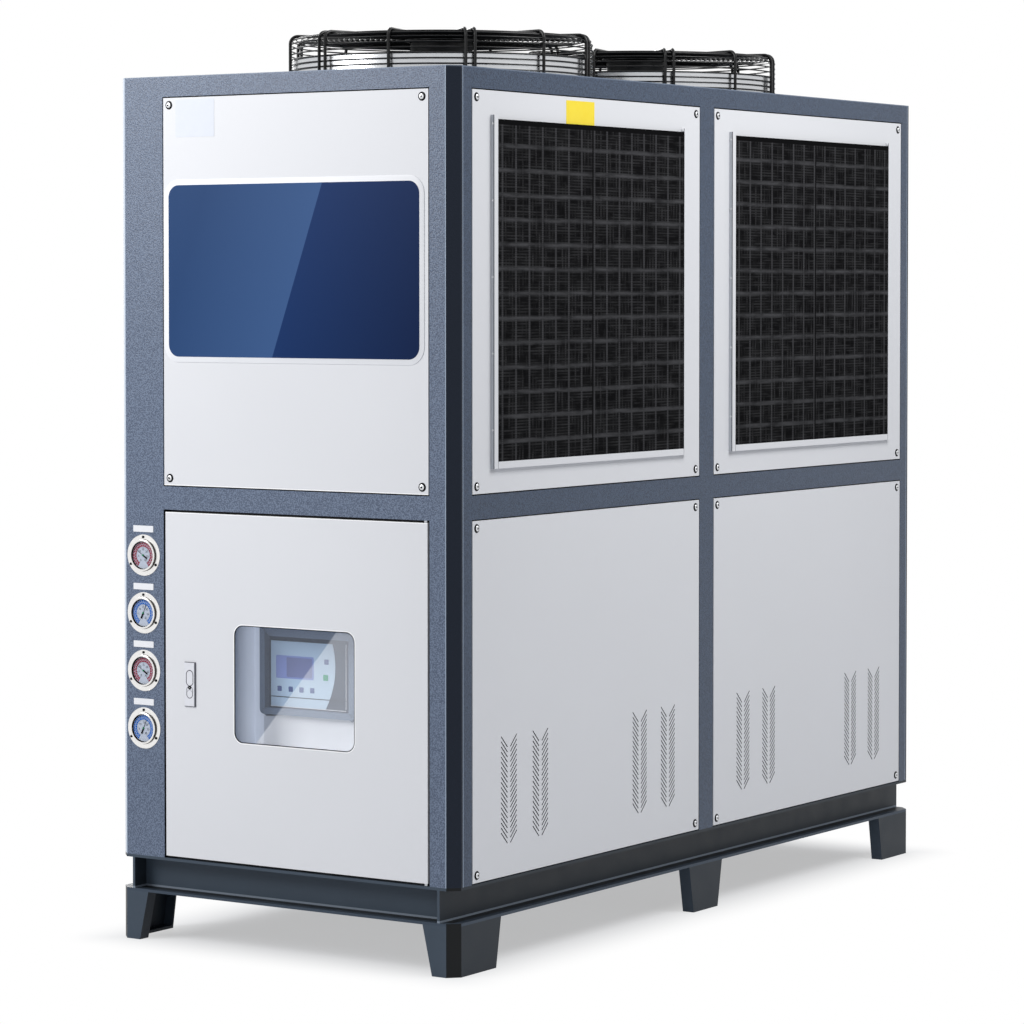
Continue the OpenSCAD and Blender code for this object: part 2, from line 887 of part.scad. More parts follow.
module fan_guard(y) {
    leg_in = guard_r - spoke_d;
    hoop_z = guard_top - spoke_d - hoop_d / 2 + weld_d;
    hoop_r = leg_in - hoop_d / 2 + weld_d;
    top_last = guard_r - guard_bend;
    top_count = floor((top_last - hub_r) / hoop_pitch);
    side_top = guard_top - guard_bend;
    side_count = floor((side_top - spoke_foot) / hoop_pitch);
    corner = guard_bend - spoke_d - hoop_d / 2 + weld_d;
    color(guard_black) each_fan(y) {
        // Every second spoke is a pair of wires
        for (i = [0 : spoke_count - 1]) rotate([0, 0, (i + 1 / 2) * 360 / spoke_count])
            if (i % 2 == 0) for (side = [-1, 1]) translate([0, side * spoke_pair / 2, 0]) spoke();
            else spoke();
        for (i = [0 : top_count - 1]) hoop(top_last - i * hoop_pitch, hoop_z);
        for (i = [0 : side_count - 1]) hoop(hoop_r, side_top - i * hoop_pitch);
        hoop(top_last + corner * sin(45), side_top + corner * cos(45));
        translate([0, 0, hub_z]) cylinder(r = hub_r, h = hub_t, $fn = 64);
    }
}

module fan_guard_front() {
    fan_guard(-fan_y);
}

module fan_guard_rear() {
    fan_guard(fan_y);
}

stator_z = hub_z - stator_h;
rotor_z = stator_z - rotor_gap - rotor_h;

module fan_motor(y) {
    color(guard_black) each_fan(y) {
        translate([0, 0, stator_z]) cylinder(r = stator_r, h = stator_h);
        translate([0, 0, stator_z - shaft_l]) cylinder(r = shaft_r, h = shaft_l + cut);
    }
}

module fan_motor_front() {
    fan_motor(-fan_y);
}

module fan_motor_rear() {
    fan_motor(fan_y);
}

blade_tip = ring_r - tip_gap;
blade_root = rotor_r - blade_t;
edge_steps = 8;

// Turn of a blade's middle line at a share of the way from root to tip
function blade_turn(share) = blade_sweep * pow(share, 2);
function blade_half(share) =
    (blade_root_angle + share * (blade_tip_angle - blade_root_angle)) / 2;
function blade_point(share, side) =
    let (radius = blade_root + share * (blade_tip - blade_root),
        angle = blade_turn(share) + side * blade_half(share))
    [radius * cos(angle), radius * sin(angle)];

module blade_outline() {
    lead = [for (i = [0 : edge_steps]) blade_point(i / edge_steps, 1)];
    trail = [for (i = [edge_steps : -1 : 0]) blade_point(i / edge_steps, -1)];
    polygon(concat(lead, trail));
}

// A blade is a curved, tilted sheet cut to the blade's outline
module blade() {
    intersection() {
        translate([0, 0, -rotor_h / 2]) linear_extrude(rotor_h) blade_outline();
        rotate([blade_tilt, 0, 0]) translate([0, 0, -blade_curve])
            rotate([90, 0, 90]) linear_extrude(ring_r)
                ring_plan(blade_curve + blade_t / 2, blade_curve - blade_t / 2, $fn = 128);
    }
}

module fan_rotor(y) {
    color(guard_black) each_fan(y) difference() {
        union() {
            translate([0, 0, rotor_z]) cylinder(r = rotor_r, h = rotor_h);
            for (i = [0 : blade_count - 1])
                translate([0, 0, rotor_z + rotor_h / 2]) rotate([0, 0, i * 360 / blade_count])
                    blade();
        }
        translate([0, 0, rotor_z - cut])
            cylinder(r = shaft_r + run_gap, h = rotor_h + 2 * cut);
    }
}

module fan_rotor_front() {
    fan_rotor(-fan_y);
}

module fan_rotor_rear() {
    fan_rotor(fan_y);
}

// Gauges

module each_gauge() {
    for (i = [0 : gauge_count - 1])
        translate([gauge_in - half_w, -half_l, gauge_z(i)]) rotate([90, 0, 0]) children();
}

module gauge_body() {
    dial_z = gauge_out - gauge_dial_in;
    cylinder(r = gauge_flange_d / 2, h = gauge_flange_t);
    translate([0, 0, -gauge_case_l]) cylinder(r = gauge_case_d / 2, h = gauge_case_l + dial_z);
    difference() {
        cylinder(r = gauge_bezel_d / 2, h = gauge_out);
        translate([0, 0, dial_z]) cylinder(r = gauge_dial_d / 2, h = gauge_out);
    }
}

module pressure_gauges() {
    color("#B5BAC0") each_gauge() gauge_body();
}

module gauge_lenses() {
    color("#E4E8EE") each_gauge() translate([0, 0, gauge_out - lens_in - lens_t])
        cylinder(r = gauge_dial_d / 2 - run_gap, h = lens_t);
}

// Switch compartment and controller

door_left = gauge_edge + door_gap;
door_right = front_edge - door_gap;
door_low = body_z + door_gap;
door_high = mid_rail_low - door_gap;
glass_x = door_left + glass_left + glass_w / 2 - door_gap;
glass_mid_z = glass_z + glass_h / 2;
tray_side = lip_w / 2;

module switch_tray() {
    w = front_edge - gauge_edge - 2 * tray_side;
    low = deck_z + upstand_h;
    h = mid_rail_low - tray_side - low;
    color(steel_grey) on_front(seat_back)
        translate([(front_edge + gauge_edge) / 2, low + h / 2, 0]) difference() {
            translate([-w / 2, -h / 2, 0]) cube([w, h, tray_d]);
            translate([-w / 2 + tray_t, -h / 2 + tray_t, -cut])
                cube([w - 2 * tray_t, h - 2 * tray_t, tray_d - tray_t + cut]);
        }
}

hood_w = glass_w + 2 * hood_past;
hood_h = glass_h + 2 * hood_past;

module control_recess() {
    run = seat_back + tray_d - tray_t - hood_front;
    color(panel_grey) on_front(hood_front) translate([glass_x, glass_mid_z, 0]) {
        difference() {
            translate([-hood_w / 2, -hood_h / 2, 0]) cube([hood_w, hood_h, run]);
            translate([-hood_w / 2 + tray_t, -hood_h / 2 + tray_t, -cut])
                cube([hood_w - 2 * tray_t, hood_h - 2 * tray_t, run + 2 * cut]);
        }
        translate([-hood_w / 2, -hood_h / 2, hood_depth - hood_front])
            cube([hood_w, hood_h, tray_t]);
    }
}

module controller() {
    x = glass_x - glass_w / 2 + control_left + control_w / 2;
    z = glass_z + control_up + control_h / 2;
    color("#6E7C8C") on_front(hood_depth - control_t) translate([x, z, 0]) difference() {
        linear_extrude(control_t) round_rect(control_w, control_h, control_r);
        translate([0, 0, -cut]) linear_extrude(bezel_d + cut)
            round_rect(control_w - 2 * bezel_w, control_h - 2 * bezel_w, control_r);
    }
}

// Door and latch

hinge_x = door_right - hinge_in;
hinge_y = -half_l + hinge_in;
latch_x = door_left + latch_in;
latch_hole_w = latch_w - 2 * latch_past;
latch_hole_h = latch_h - 2 * latch_past;

module door_panel() {
    w = door_right - door_left;
    h = door_high - door_low;
    color(panel_grey) difference() {
        on_front(0) translate([(door_left + door_right) / 2, (door_low + door_high) / 2, 0])
            tray(w, h, panel_t, door_d);
        on_front(-cut) {
            translate([glass_x, glass_mid_z, 0]) linear_extrude(panel_t + 2 * cut)
                round_rect(glass_w, glass_h, glass_r);
            translate([latch_x, latch_z, 0]) linear_extrude(panel_t + 2 * cut)
                square([latch_hole_w, latch_hole_h], center = true);
        }
        for (z = [door_low, door_high])
            translate([hinge_x, hinge_y, z - panel_t - cut])
                cylinder(r = hinge_r + run_gap, h = 2 * panel_t + 2 * cut);
    }
}

module door_glass() {
    color("#7E8894") on_front(panel_t) translate([glass_x, glass_mid_z, 0])
        linear_extrude(pane_t)
            round_rect(glass_w + 2 * pane_past, glass_h + 2 * pane_past, glass_r);
}

module hinge_pins() {
    collar = door_gap - run_gap;
    color(steel_grey) translate([hinge_x, hinge_y, 0]) {
        translate([0, 0, body_z]) cylinder(r = 2 * hinge_r, h = collar);
        translate([0, 0, body_z]) cylinder(r = hinge_r, h = door_gap + hinge_reach);
        translate([0, 0, mid_rail_low - collar]) cylinder(r = 2 * hinge_r, h = collar);
        translate([0, 0, mid_rail_low - door_gap - hinge_reach])
            cylinder(r = hinge_r, h = door_gap + hinge_reach);
    }
}

paddle_top = latch_h / 2 - paddle_down;
pivot_z = latch_z + paddle_top - pin_down;
pivot_depth = paddle_r - latch_out;

// A slot with round ends, drawn from its top end down
module stadium(w, h) {
    translate([0, -w / 2]) circle(w / 2);
    translate([0, w / 2 - h]) circle(w / 2);
    translate([-w / 2, w / 2 - h]) square([w, h - w]);
}

module middle_block(w, h, depth) {
    translate([-w / 2, -h / 2, 0]) cube([w, h, depth]);
}

module latch_plate() {
    pocket_w = paddle_w + 2 * paddle_gap;
    pocket_l = paddle_l + 2 * paddle_gap;
    color(latch_grey) {
        on_front(-latch_out) translate([latch_x, latch_z, 0]) difference() {
            union() {
                // Plate that lies on the door, with a bevel round its face
                hull() {
                    middle_block(latch_w - 2 * latch_bevel, latch_h - 2 * latch_bevel, latch_out);
                    translate([0, 0, latch_bevel])
                        middle_block(latch_w, latch_h, latch_out - latch_bevel);
                }
                middle_block(latch_hole_w - 2 * run_gap, latch_hole_h - 2 * run_gap,
                    latch_d + latch_out);
            }
            translate([0, paddle_top + paddle_gap, -cut]) linear_extrude(pocket_d + cut)
                stadium(pocket_w, pocket_l);
            translate([0, latch_h / 2 - lock_down, -cut]) cylinder(r = lock_r, h = lock_d + cut);
            translate([0, latch_h / 2 - button_down, -cut]) linear_extrude(groove_w + cut)
                difference() {
                    stadium(button_w, button_h);
                    translate([0, -groove_w])
                        stadium(button_w - 2 * groove_w, button_h - 2 * groove_w);
                }
        }
        translate([latch_x - pocket_w / 2 - cut, -half_l + pivot_depth, pivot_z])
            rotate([0, 90, 0]) cylinder(r = paddle_pin_r, h = pocket_w + 2 * cut);
    }
}

module latch_paddle() {
    color(latch_grey) difference() {
        intersection() {
            translate([latch_x - paddle_w / 2, -half_l + pivot_depth, pivot_z])
                rotate([0, 90, 0]) linear_extrude(paddle_w) {
                    circle(paddle_r);
                    translate([-pin_down, -paddle_r]) square([paddle_l, paddle_t]);
                }
            on_front(-latch_out - cut) translate([latch_x, latch_z + paddle_top, 0])
                linear_extrude(latch_d) stadium(paddle_w, paddle_l);
        }
        translate([latch_x - paddle_w / 2 - cut, -half_l + pivot_depth, pivot_z])
            rotate([0, 90, 0]) cylinder(r = paddle_pin_r + run_gap, h = paddle_w + 2 * cut);
    }
}

// Water ports at the rear

module water_port() {
    difference() {
        union() {
            cylinder(r = port_r, h = port_l);
            translate([0, 0, port_out - port_flange_t])
                cylinder(r = port_flange_r, h = port_flange_t);
        }
        translate([0, 0, -cut]) cylinder(r = port_bore_r, h = port_l + 2 * cut);
    }
}

module water_ports() {
    color(steel_grey) mirror([0, 1, 0]) on_front(-port_out)
        for (i = [0, 1]) translate([port_x, port_z + i * port_pitch, 0]) water_port();
}

base_side_rails();
base_end_rails();
base_cross_members();
corner_feet();
middle_feet();
floor_deck();
gauge_post();
front_post();
rear_posts();
top_rails();
middle_rails();
side_uprights();
roof_panel();
plenum_floor();
front_upper_panel();
rear_panels();
coil_panels_right();
coil_panels_left();
vent_panels_right();
vent_panels_left();
filter_rails_right();
filter_rails_left();
filter_screens_right();
filter_screens_left();
condenser_coils();
fan_ring_front();
fan_ring_rear();
fan_guard_front();
fan_guard_rear();
fan_motor_front();
fan_motor_rear();
pressure_gauges();
gauge_lenses();
switch_tray();
control_recess();
controller();
hinge_pins();
water_ports();
door_panel();
door_glass();
latch_plate();
latch_paddle();
fan_rotor_front();
fan_rotor_rear();
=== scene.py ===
from math import atan2, cos, pi, radians, sin

import bmesh
import bpy
from mathutils import Matrix, Vector


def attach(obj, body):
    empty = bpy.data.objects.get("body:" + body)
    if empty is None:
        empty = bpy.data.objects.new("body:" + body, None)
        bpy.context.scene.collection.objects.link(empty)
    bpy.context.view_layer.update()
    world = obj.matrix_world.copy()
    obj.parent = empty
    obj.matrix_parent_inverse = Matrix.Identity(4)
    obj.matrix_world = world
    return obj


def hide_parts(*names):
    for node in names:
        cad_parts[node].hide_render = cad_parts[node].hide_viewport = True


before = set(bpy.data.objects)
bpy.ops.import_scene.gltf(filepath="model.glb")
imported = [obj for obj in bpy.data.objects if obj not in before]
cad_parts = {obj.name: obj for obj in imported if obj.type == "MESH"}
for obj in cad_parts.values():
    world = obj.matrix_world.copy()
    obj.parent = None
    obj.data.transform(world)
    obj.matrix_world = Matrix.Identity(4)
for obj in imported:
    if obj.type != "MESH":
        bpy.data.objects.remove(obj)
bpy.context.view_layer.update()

world_scene = bpy.context.scene


# Studio. A long lens stands at the height of the roof rail, to the right of
# the front. The world is white where it is seen, and a large soft lamp at the
# front left gives the front faces their sheen.
def colour(code):
    """A colour written as sRGB hex, as the linear values that Blender uses"""
    parts = [int(code[i:i + 2], 16) / 255 for i in (1, 3, 5)]
    return tuple(p / 12.92 if p <= 0.04045 else ((p + 0.055) / 1.055) ** 2.4
                 for p in parts) + (1.0,)


def node(owner, kind, *inputs, **settings):
    """Adds a node to a material or world, with its settings, values and links.
    The inputs are given in their order, or by name in a dict"""
    item = owner.node_tree.nodes.new("ShaderNode" + kind)
    for name, value in settings.items():
        setattr(item, name, value)
    named = inputs[0] if inputs and isinstance(inputs[0], dict) else dict(enumerate(inputs))
    for name, value in named.items():
        if isinstance(value, bpy.types.Node):
            value = value.outputs[0]
        if isinstance(value, bpy.types.NodeSocket):
            owner.node_tree.links.new(value, item.inputs[name])
        else:
            item.inputs[name].default_value = value
    return item


def finish(name):
    """An empty material with nodes"""
    material = bpy.data.materials.new(name)
    material.use_nodes = True
    material.node_tree.nodes.clear()
    return material


def seen(owner):
    """1 on rays from the camera, a mirror or a glass, 0 on rays of light"""
    path = node(owner, "LightPath")
    shiny = node(owner, "Math", path.outputs["Is Camera Ray"], path.outputs["Is Glossy Ray"],
                 operation="MAXIMUM")
    return node(owner, "Math", shiny, path.outputs["Is Transmission Ray"], operation="MAXIMUM")


lens = bpy.data.cameras.new("camera")
lens.lens = 127.85
lens.sensor_width = 36
lens.shift_x = -0.0008
lens.shift_y = -0.0996
lens.clip_end = 100
camera = bpy.data.objects.new("camera", lens)
camera.location = (4.532, -6.974, 1.384)
camera.rotation_euler = (radians(90 - 1.908), 0, radians(33.485))
world_scene.collection.objects.link(camera)
world_scene.camera = camera
world_scene.view_settings.view_transform = "Standard"

world = bpy.data.worlds.new("studio_world")
world_scene.world = world
world.use_nodes = True
world.node_tree.nodes.clear()
soft_light = node(world, "Background", {"Color": colour("#F4F6FA"), "Strength": 0.46})
white_view = node(world, "Background", {"Color": (1, 1, 1, 1), "Strength": 1.0})
node(world, "OutputWorld", node(world, "MixShader", seen(world), soft_light, white_view))


def softbox(name, place, aim, across, up, power):
    lamp = bpy.data.lights.new(name, "AREA")
    lamp.shape = "RECTANGLE"
    lamp.size = across
    lamp.size_y = up
    lamp.energy = power
    item = bpy.data.objects.new(name, lamp)
    item.location = place
    item.rotation_euler = (Vector(aim) - Vector(place)).to_track_quat("-Z", "Y").to_euler()
    world_scene.collection.objects.link(item)


softbox("key_softbox", (-2.1, -3.5, 2.95), (0, -0.95, 1.50), 1.8, 2.5, 128)
softbox("side_softbox", (2.5, 0.1, 3.5), (0.4, 0.0, 1.45), 1.6, 1.6, 72)
softbox("rear_softbox", (-3.4, 3.8, 2.9), (0, 0.60, 1.3), 2.0, 2.0, 120)

floor_shape = bmesh.new()
bmesh.ops.create_circle(floor_shape, cap_ends=True, segments=64, radius=30)
floor_mesh = bpy.data.meshes.new("studio_floor")
floor_shape.to_mesh(floor_mesh)
floor_shape.free()
studio_floor = bpy.data.objects.new("studio_floor", floor_mesh)
world_scene.collection.objects.link(studio_floor)
# Matt white sheet. It glows towards the viewer, wholly so outside the shade
# that the base throws on it
half_w = 0.435
half_l = 0.990
sheet = finish("matt_white_floor_sheet")
sheet_place = node(sheet, "TexCoord")
sheet_side = node(sheet, "VectorMath", sheet_place.outputs["Object"], operation="ABSOLUTE")
sheet_past = node(sheet, "VectorMath", sheet_side, (half_w, half_l, 0), operation="SUBTRACT")
sheet_out = node(sheet, "VectorMath", sheet_past, (0, 0, 0), operation="MAXIMUM")
sheet_way = node(sheet, "VectorMath", sheet_out, operation="LENGTH")
sheet_parts = node(sheet, "SeparateXYZ", sheet_past)
sheet_near = node(sheet, "Math", sheet_parts.outputs["X"], sheet_parts.outputs["Y"],
                  operation="MAXIMUM")
sheet_in = node(sheet, "Math", sheet_near, 0.0, operation="MINIMUM")
# Distance from the edge of the base, less than 0 under it
sheet_far = node(sheet, "Math", sheet_way.outputs["Value"], sheet_in, operation="ADD")
sheet_fade = node(sheet, "MapRange", sheet_far, -0.12, 0.13, 0.45, 1.0,
                  interpolation_type="SMOOTHSTEP")
sheet_glow = node(sheet, "Math", sheet_fade, seen(sheet), operation="MULTIPLY")
sheet_matt = node(sheet, "BsdfDiffuse", {"Color": colour("#C3C5CA")})
sheet_white = node(sheet, "Emission", {"Color": (1, 1, 1, 1), "Strength": 1.0})
node(sheet, "OutputMaterial", node(sheet, "MixShader", sheet_glow, sheet_matt, sheet_white))
floor_mesh.materials.append(sheet)


# Base frame and feet. Two long channels, the end channels and the cross
# members are welded of folded steel plate, and six bent plate feet are bolted
# under them. All of it has a satin dark grey machine enamel.
def dress(material, *names):
    """Gives CAD nodes their finish"""
    for name in names:
        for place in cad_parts[name].material_slots:
            place.material = material


def noise(owner, size, detail=2.0, rough=0.5, squeeze=None):
    """Patches or grains that are about so many metres across"""
    place = node(owner, "TexCoord").outputs["Object"]
    if squeeze:
        place = node(owner, "Mapping", {"Vector": place, "Scale": squeeze})
    return node(owner, "TexNoise", {"Vector": place, "Scale": 1 / size, "Detail": detail,
                                    "Roughness": rough})


def axes(owner, kind="Object", signed=True):
    """X, Y and Z of a point of the piece, or of the way that its face looks"""
    found = node(owner, "TexCoord").outputs[kind]
    if not signed:
        found = node(owner, "VectorMath", found, operation="ABSOLUTE")
    return node(owner, "SeparateXYZ", found).outputs


def where(owner, *tests):
    """1 where the first value of every pair is above its second, 0 elsewhere"""
    found = None
    for high, low in tests:
        test = node(owner, "Math", high, low, operation="GREATER_THAN")
        found = node(owner, "Math", found, test, operation="MULTIPLY") if found else test
    return found


# Sprayed enamel over plate: even colour, a faint mottle and a soft sheen. A line at
# the foot of the channel web is a painted highlight, and the shelf under it is painted shade
enamel = finish("satin_dark_grey_enamel")
enamel_mottle = noise(enamel, 0.05, 3)
enamel_grain = noise(enamel, 0.0016, 1)
enamel_parts = axes(enamel)
enamel_way = axes(enamel, "Normal")
shelf_z = 0.109
shelf_lip = 0.0042
web_foot = 0.103
base_rim = 0.016
enamel_side = axes(enamel, signed=False)
enamel_rim = node(enamel, "Math", where(enamel, (enamel_side["X"], half_w - base_rim)),
                  where(enamel, (enamel_side["Y"], half_l - base_rim)), operation="MAXIMUM")
enamel_shelf_shade = where(enamel, (enamel_way["Z"], 0.5), (enamel_parts["Z"], shelf_z - 0.002))
enamel_flange_edge_highlight = where(enamel, (enamel_parts["Z"], web_foot), (shelf_z, enamel_parts["Z"]))
enamel_foot_highlight = where(enamel, (enamel_parts["Z"], shelf_z),
                    (shelf_z + shelf_lip, enamel_parts["Z"]))
enamel_turned = axes(enamel, "Normal", signed=False)
enamel_turn = node(enamel, "Math", enamel_turned["X"], enamel_turned["Y"], operation="MULTIPLY")
# Painted light: faces that look to the front or rear are painted lighter than the sides
enamel_base = node(enamel, "MixRGB", where(enamel, (enamel_turned["Y"], 0.5)),
                   node(enamel, "MixRGB", enamel_mottle, colour("#21282F"), colour("#272E36")),
                   node(enamel, "MixRGB", enamel_mottle, colour("#3B4652"), colour("#434E5A")))
# Painted highlights on the edge of the lower flange and the foot of the web, painted shade on the
# shelf, lighter at its outer rim
for place, tone in (
        (enamel_flange_edge_highlight, "#3A4552"), (enamel_foot_highlight, "#7A8490"), (enamel_shelf_shade, "#07090B"),
        (node(enamel, "Math", enamel_shelf_shade, enamel_rim, operation="MULTIPLY"), "#2A323C"),
        # Painted shade, near black, on the cut corners
        (where(enamel, (enamel_turn, 0.2)), "#0C0F12")):
    enamel_base = node(enamel, "MixRGB", place, enamel_base, colour(tone))
node(enamel, "OutputMaterial", node(enamel, "BsdfPrincipled", {
    "Base Color": enamel_base,
    "Roughness": node(enamel, "MapRange", enamel_mottle, 0.3, 0.7, 0.4, 0.5),
    "Specular IOR Level": 0.2,
    "Normal": node(enamel, "Bump",
                   {"Strength": 0.25, "Distance": 0.0003, "Height": enamel_grain})}))
dress(enamel, "base_side_rails", "base_end_rails", "base_cross_members", "corner_feet",
      "middle_feet")


# Decks and switch compartment. Pans of zinc coated sheet close the base and
# divide the coil space from the machine space, and the switch compartment
# behind the door is folded from the same sheet.
zinc = finish("galvanised_sheet")
# Zinc crystals are 8 to 15 mm across and differ a little in brightness
zinc_place = node(zinc, "TexCoord")
zinc_flake = node(zinc, "TexVoronoi", {"Vector": zinc_place.outputs["Object"], "Scale": 90.0})
zinc_tone = node(zinc, "SeparateColor", {"Color": zinc_flake.outputs["Color"]})
node(zinc, "OutputMaterial", node(zinc, "BsdfPrincipled", {
    "Base Color": node(zinc, "MixRGB", zinc_tone.outputs["Red"], colour("#A9ADB3"),
                       colour("#BEC2C8")),
    "Metallic": 0.85,
    "Roughness": node(zinc, "MapRange", zinc_tone.outputs["Green"], 0, 1, 0.34, 0.5)}))
dress(zinc, "floor_deck", "plenum_floor", "switch_tray")


# Frame. Corner posts, rails and uprights are folded steel sheet. Their
# powder coat is blue grey with a fine leather texture. A painted shade runs up
# each cut corner as a dark strip between two painted highlight lines, and the
# panel gaps have painted shade.
coat = finish("textured_blue_grey_powder_coat")
coat_x, coat_y, coat_z = axes(coat, signed=False)
# Depth inside the strip over the cut corner, less than 0 beside it
strip_across = 0.0218
strip_along = 0.0275
strip_in = node(coat, "Math",
                node(coat, "Math", coat_x, half_w - strip_across, operation="SUBTRACT"),
                node(coat, "Math", coat_y, half_l - strip_along, operation="SUBTRACT"),
                operation="MINIMUM")
# The real grains are about 1 mm, drawn at 3 mm so that they show
coat_grain = noise(coat, 0.0026, 1, 0.4)
coat_speckle = node(coat, "MapRange", coat_grain, 0.38, 0.62, 0, 1)
coat_colour = node(coat, "MixRGB", coat_speckle, colour("#293649"), colour("#425167"))
# The faces at the two ends, front and rear, are painted a little lighter, as painted light
coat_way = axes(coat, "Normal", signed=False)
coat_lit_ends = node(coat, "MixRGB", coat_speckle, colour("#4B566A"), colour("#6E7B90"))
coat_colour = node(coat, "MixRGB", where(coat, (coat_way["Y"], 0.9)), coat_colour, coat_lit_ends)
# On the front left corner, which faces the lamp, the strip is a pale painted highlight instead
coat_corner_shade = where(coat, (strip_in, 0.0))
coat_signed = axes(coat)
coat_corner_highlight = where(coat, (strip_in, 0.0), (0.0, coat_signed["X"]), (0.0, coat_signed["Y"]))
# A painted highlight runs along the outer top edge
coat_top_highlight = node(coat, "Math", where(coat, (coat_z, 1.8278)), 0.45, operation="MULTIPLY")
# Painted highlight lines beside the strip, the strip's painted shade, its painted highlight on the
# front left corner, and the painted highlight of the top edge
for place, tone in ((where(coat, (strip_in, -0.0020)), "#98A6B8"), (coat_corner_shade, "#262C37"),
                    (coat_corner_highlight, "#C4CCD8"), (coat_top_highlight, "#8391A5")):
    coat_colour = node(coat, "MixRGB", place, coat_colour, colour(tone))
# Painted shade, near black, on the walls that stand back inside the gaps round the panels
coat_turn = node(coat, "Math", coat_way["X"], coat_way["Y"], operation="MULTIPLY")
coat_wide = node(coat, "Math", coat_x, where(coat, (coat_turn, 0.2)), operation="ADD")
coat_roof = node(coat, "Math", where(coat, (coat_z, 1.829)), where(coat, (strip_in, -0.004)),
                 operation="MAXIMUM")
coat_out = node(coat, "Math", coat_roof,
                node(coat, "Math", where(coat, (coat_wide, half_w - 0.0006)),
                     where(coat, (coat_y, half_l - 0.0006)), operation="MAXIMUM"),
                operation="MAXIMUM")
coat_colour = node(coat, "MixRGB", coat_out, colour("#0D0F12"), coat_colour)
node(coat, "OutputMaterial", node(coat, "BsdfPrincipled", {
    "Base Color": coat_colour,
    "Roughness": node(coat, "MapRange", coat_grain, 0.3, 0.7, 0.30, 0.38),
    "Specular IOR Level": node(coat, "MapRange", coat_corner_shade, 0, 1, 0.3, 0.08),
    "Normal": node(coat, "Bump", {"Strength": 0.8, "Distance": 0.0007, "Height": coat_grain})}))
dress(coat, "gauge_post", "front_post", "rear_posts", "top_rails", "middle_rails",
      "side_uprights", "roof_panel")


# Panels. Trays of 1.5 mm sheet stand in the frame openings, with a smooth
# light grey powder coat. The upper side trays have a window for the coil and
# the lower ones the slanted air slots.
smooth = finish("smooth_light_grey_powder_coat")
smooth_parts = axes(smooth, signed=False)
smooth_way = axes(smooth, "Normal", signed=False)
peel = noise(smooth, 0.006, 1)
smooth_cloud = noise(smooth, 0.5, 2)
smooth_colour = node(smooth, "MixRGB", smooth_cloud, colour("#DCDDE0"), colour("#E1E2E5"))
# Painted shade, near black, on the cut walls of the air slots, which lie in the shade of the
# machine space
slot_low, slot_high = 0.20, 0.50
slot_near, slot_far = 0.06, 0.90
slot_wall = where(smooth, (0.5, smooth_way["X"]), (smooth_parts["Z"], slot_low),
                  (slot_high, smooth_parts["Z"]), (smooth_parts["Y"], slot_near),
                  (slot_far, smooth_parts["Y"]))
# The outer walls of the filter rails are painted grey as shade, with a dark seam
rail_wall_shade = where(smooth, (smooth_parts["X"], half_w + 0.0003), (smooth_way["Y"], 0.5))
rail_seam = where(smooth, (smooth_parts["X"], half_w + 0.0066), (smooth_way["Y"], 0.5))
# The cut edge of the door sheet round the window is painted dark as shade on two sides
window_r = 0.0220
window_x = 0.032
window_z = 0.561
window_half = (0.155, 1.2, 0.123)
window_wall_shade = where(smooth, (0.5, smooth_way["Y"]), (smooth_parts["Y"], 0.987),
                    (0.189, smooth_parts["X"]))
# Painted highlights, white, on the folded edges along the middle rail and on the rim of the window
edge_band = where(smooth, (smooth_parts["Z"], 0.9122), (0.9723, smooth_parts["Z"]))
rim_place = node(smooth, "VectorMath", node(smooth, "TexCoord").outputs["Object"],
                 (window_x, 0, window_z), operation="SUBTRACT")
rim_side = node(smooth, "VectorMath", rim_place, operation="ABSOLUTE")
rim_past = node(smooth, "VectorMath", rim_side,
                (window_half[0] - window_r, window_half[1], window_half[2] - window_r),
                operation="SUBTRACT")
rim_out = node(smooth, "VectorMath", rim_past, (0, 0, 0), operation="MAXIMUM")
rim_way = node(smooth, "VectorMath", rim_out, operation="LENGTH")
rim_band = where(smooth, (window_r + 0.0020, rim_way.outputs["Value"]))
light_edge = where(smooth, (node(smooth, "Math", edge_band, rim_band, operation="MAXIMUM"), 0.5),
                   (smooth_way["Y"], 0.9), (-half_l + 0.0003, axes(smooth)["Y"]))
for place, tone in ((slot_wall, "#0A0B0C"), (rail_wall_shade, "#C4C8CE"), (rail_seam, "#6A6D72"),
                    (window_wall_shade, "#15181D"), (light_edge, "#FFFFFF")):
    smooth_colour = node(smooth, "MixRGB", place, smooth_colour, colour(tone))
node(smooth, "OutputMaterial", node(smooth, "BsdfPrincipled", {
    "Base Color": smooth_colour,
    "Roughness": node(smooth, "MapRange", smooth_cloud, 0.3, 0.7, 0.36, 0.44),
    "Specular IOR Level": 0.25,
    "Normal": node(smooth, "Bump", {"Strength": 0.05, "Distance": 0.0005, "Height": peel})}))
dress(smooth, "front_upper_panel", "rear_panels", "coil_panels_right", "coil_panels_left",
      "vent_panels_right", "vent_panels_left", "filter_rails_right", "filter_rails_left",
      "door_panel")


# Panel screws. A pressed screw with a cupped washer and a socket holds each
# corner of every fixed panel, 15 mm in from its edges. Bright zinc on steel.
def lathe(shape, profile, steps, closed=False):
    """Turns a profile of radius and height pairs about the Z axis"""
    ring = [shape.verts.new((r, 0, z)) for r, z in profile]
    pairs = list(zip(ring, ring[1:] + ring[:1])) if closed else list(zip(ring, ring[1:]))
    edges = [shape.edges.new(pair) for pair in pairs]
    bmesh.ops.spin(shape, geom=ring + edges, cent=(0, 0, 0), axis=(0, 0, 1), angle=2 * pi,
                   steps=steps, use_merge=True)
    bmesh.ops.remove_doubles(shape, verts=shape.verts, dist=1e-6)


def copies(shape, places, group=None):
    """The shape at each place, in one mesh or added to another one"""
    group = group or bmesh.new()
    for place in places:
        one = bpy.data.meshes.new("copy")
        shape.to_mesh(one)
        one.transform(place)
        group.from_mesh(one)
        bpy.data.meshes.remove(one)
    shape.free()
    return group


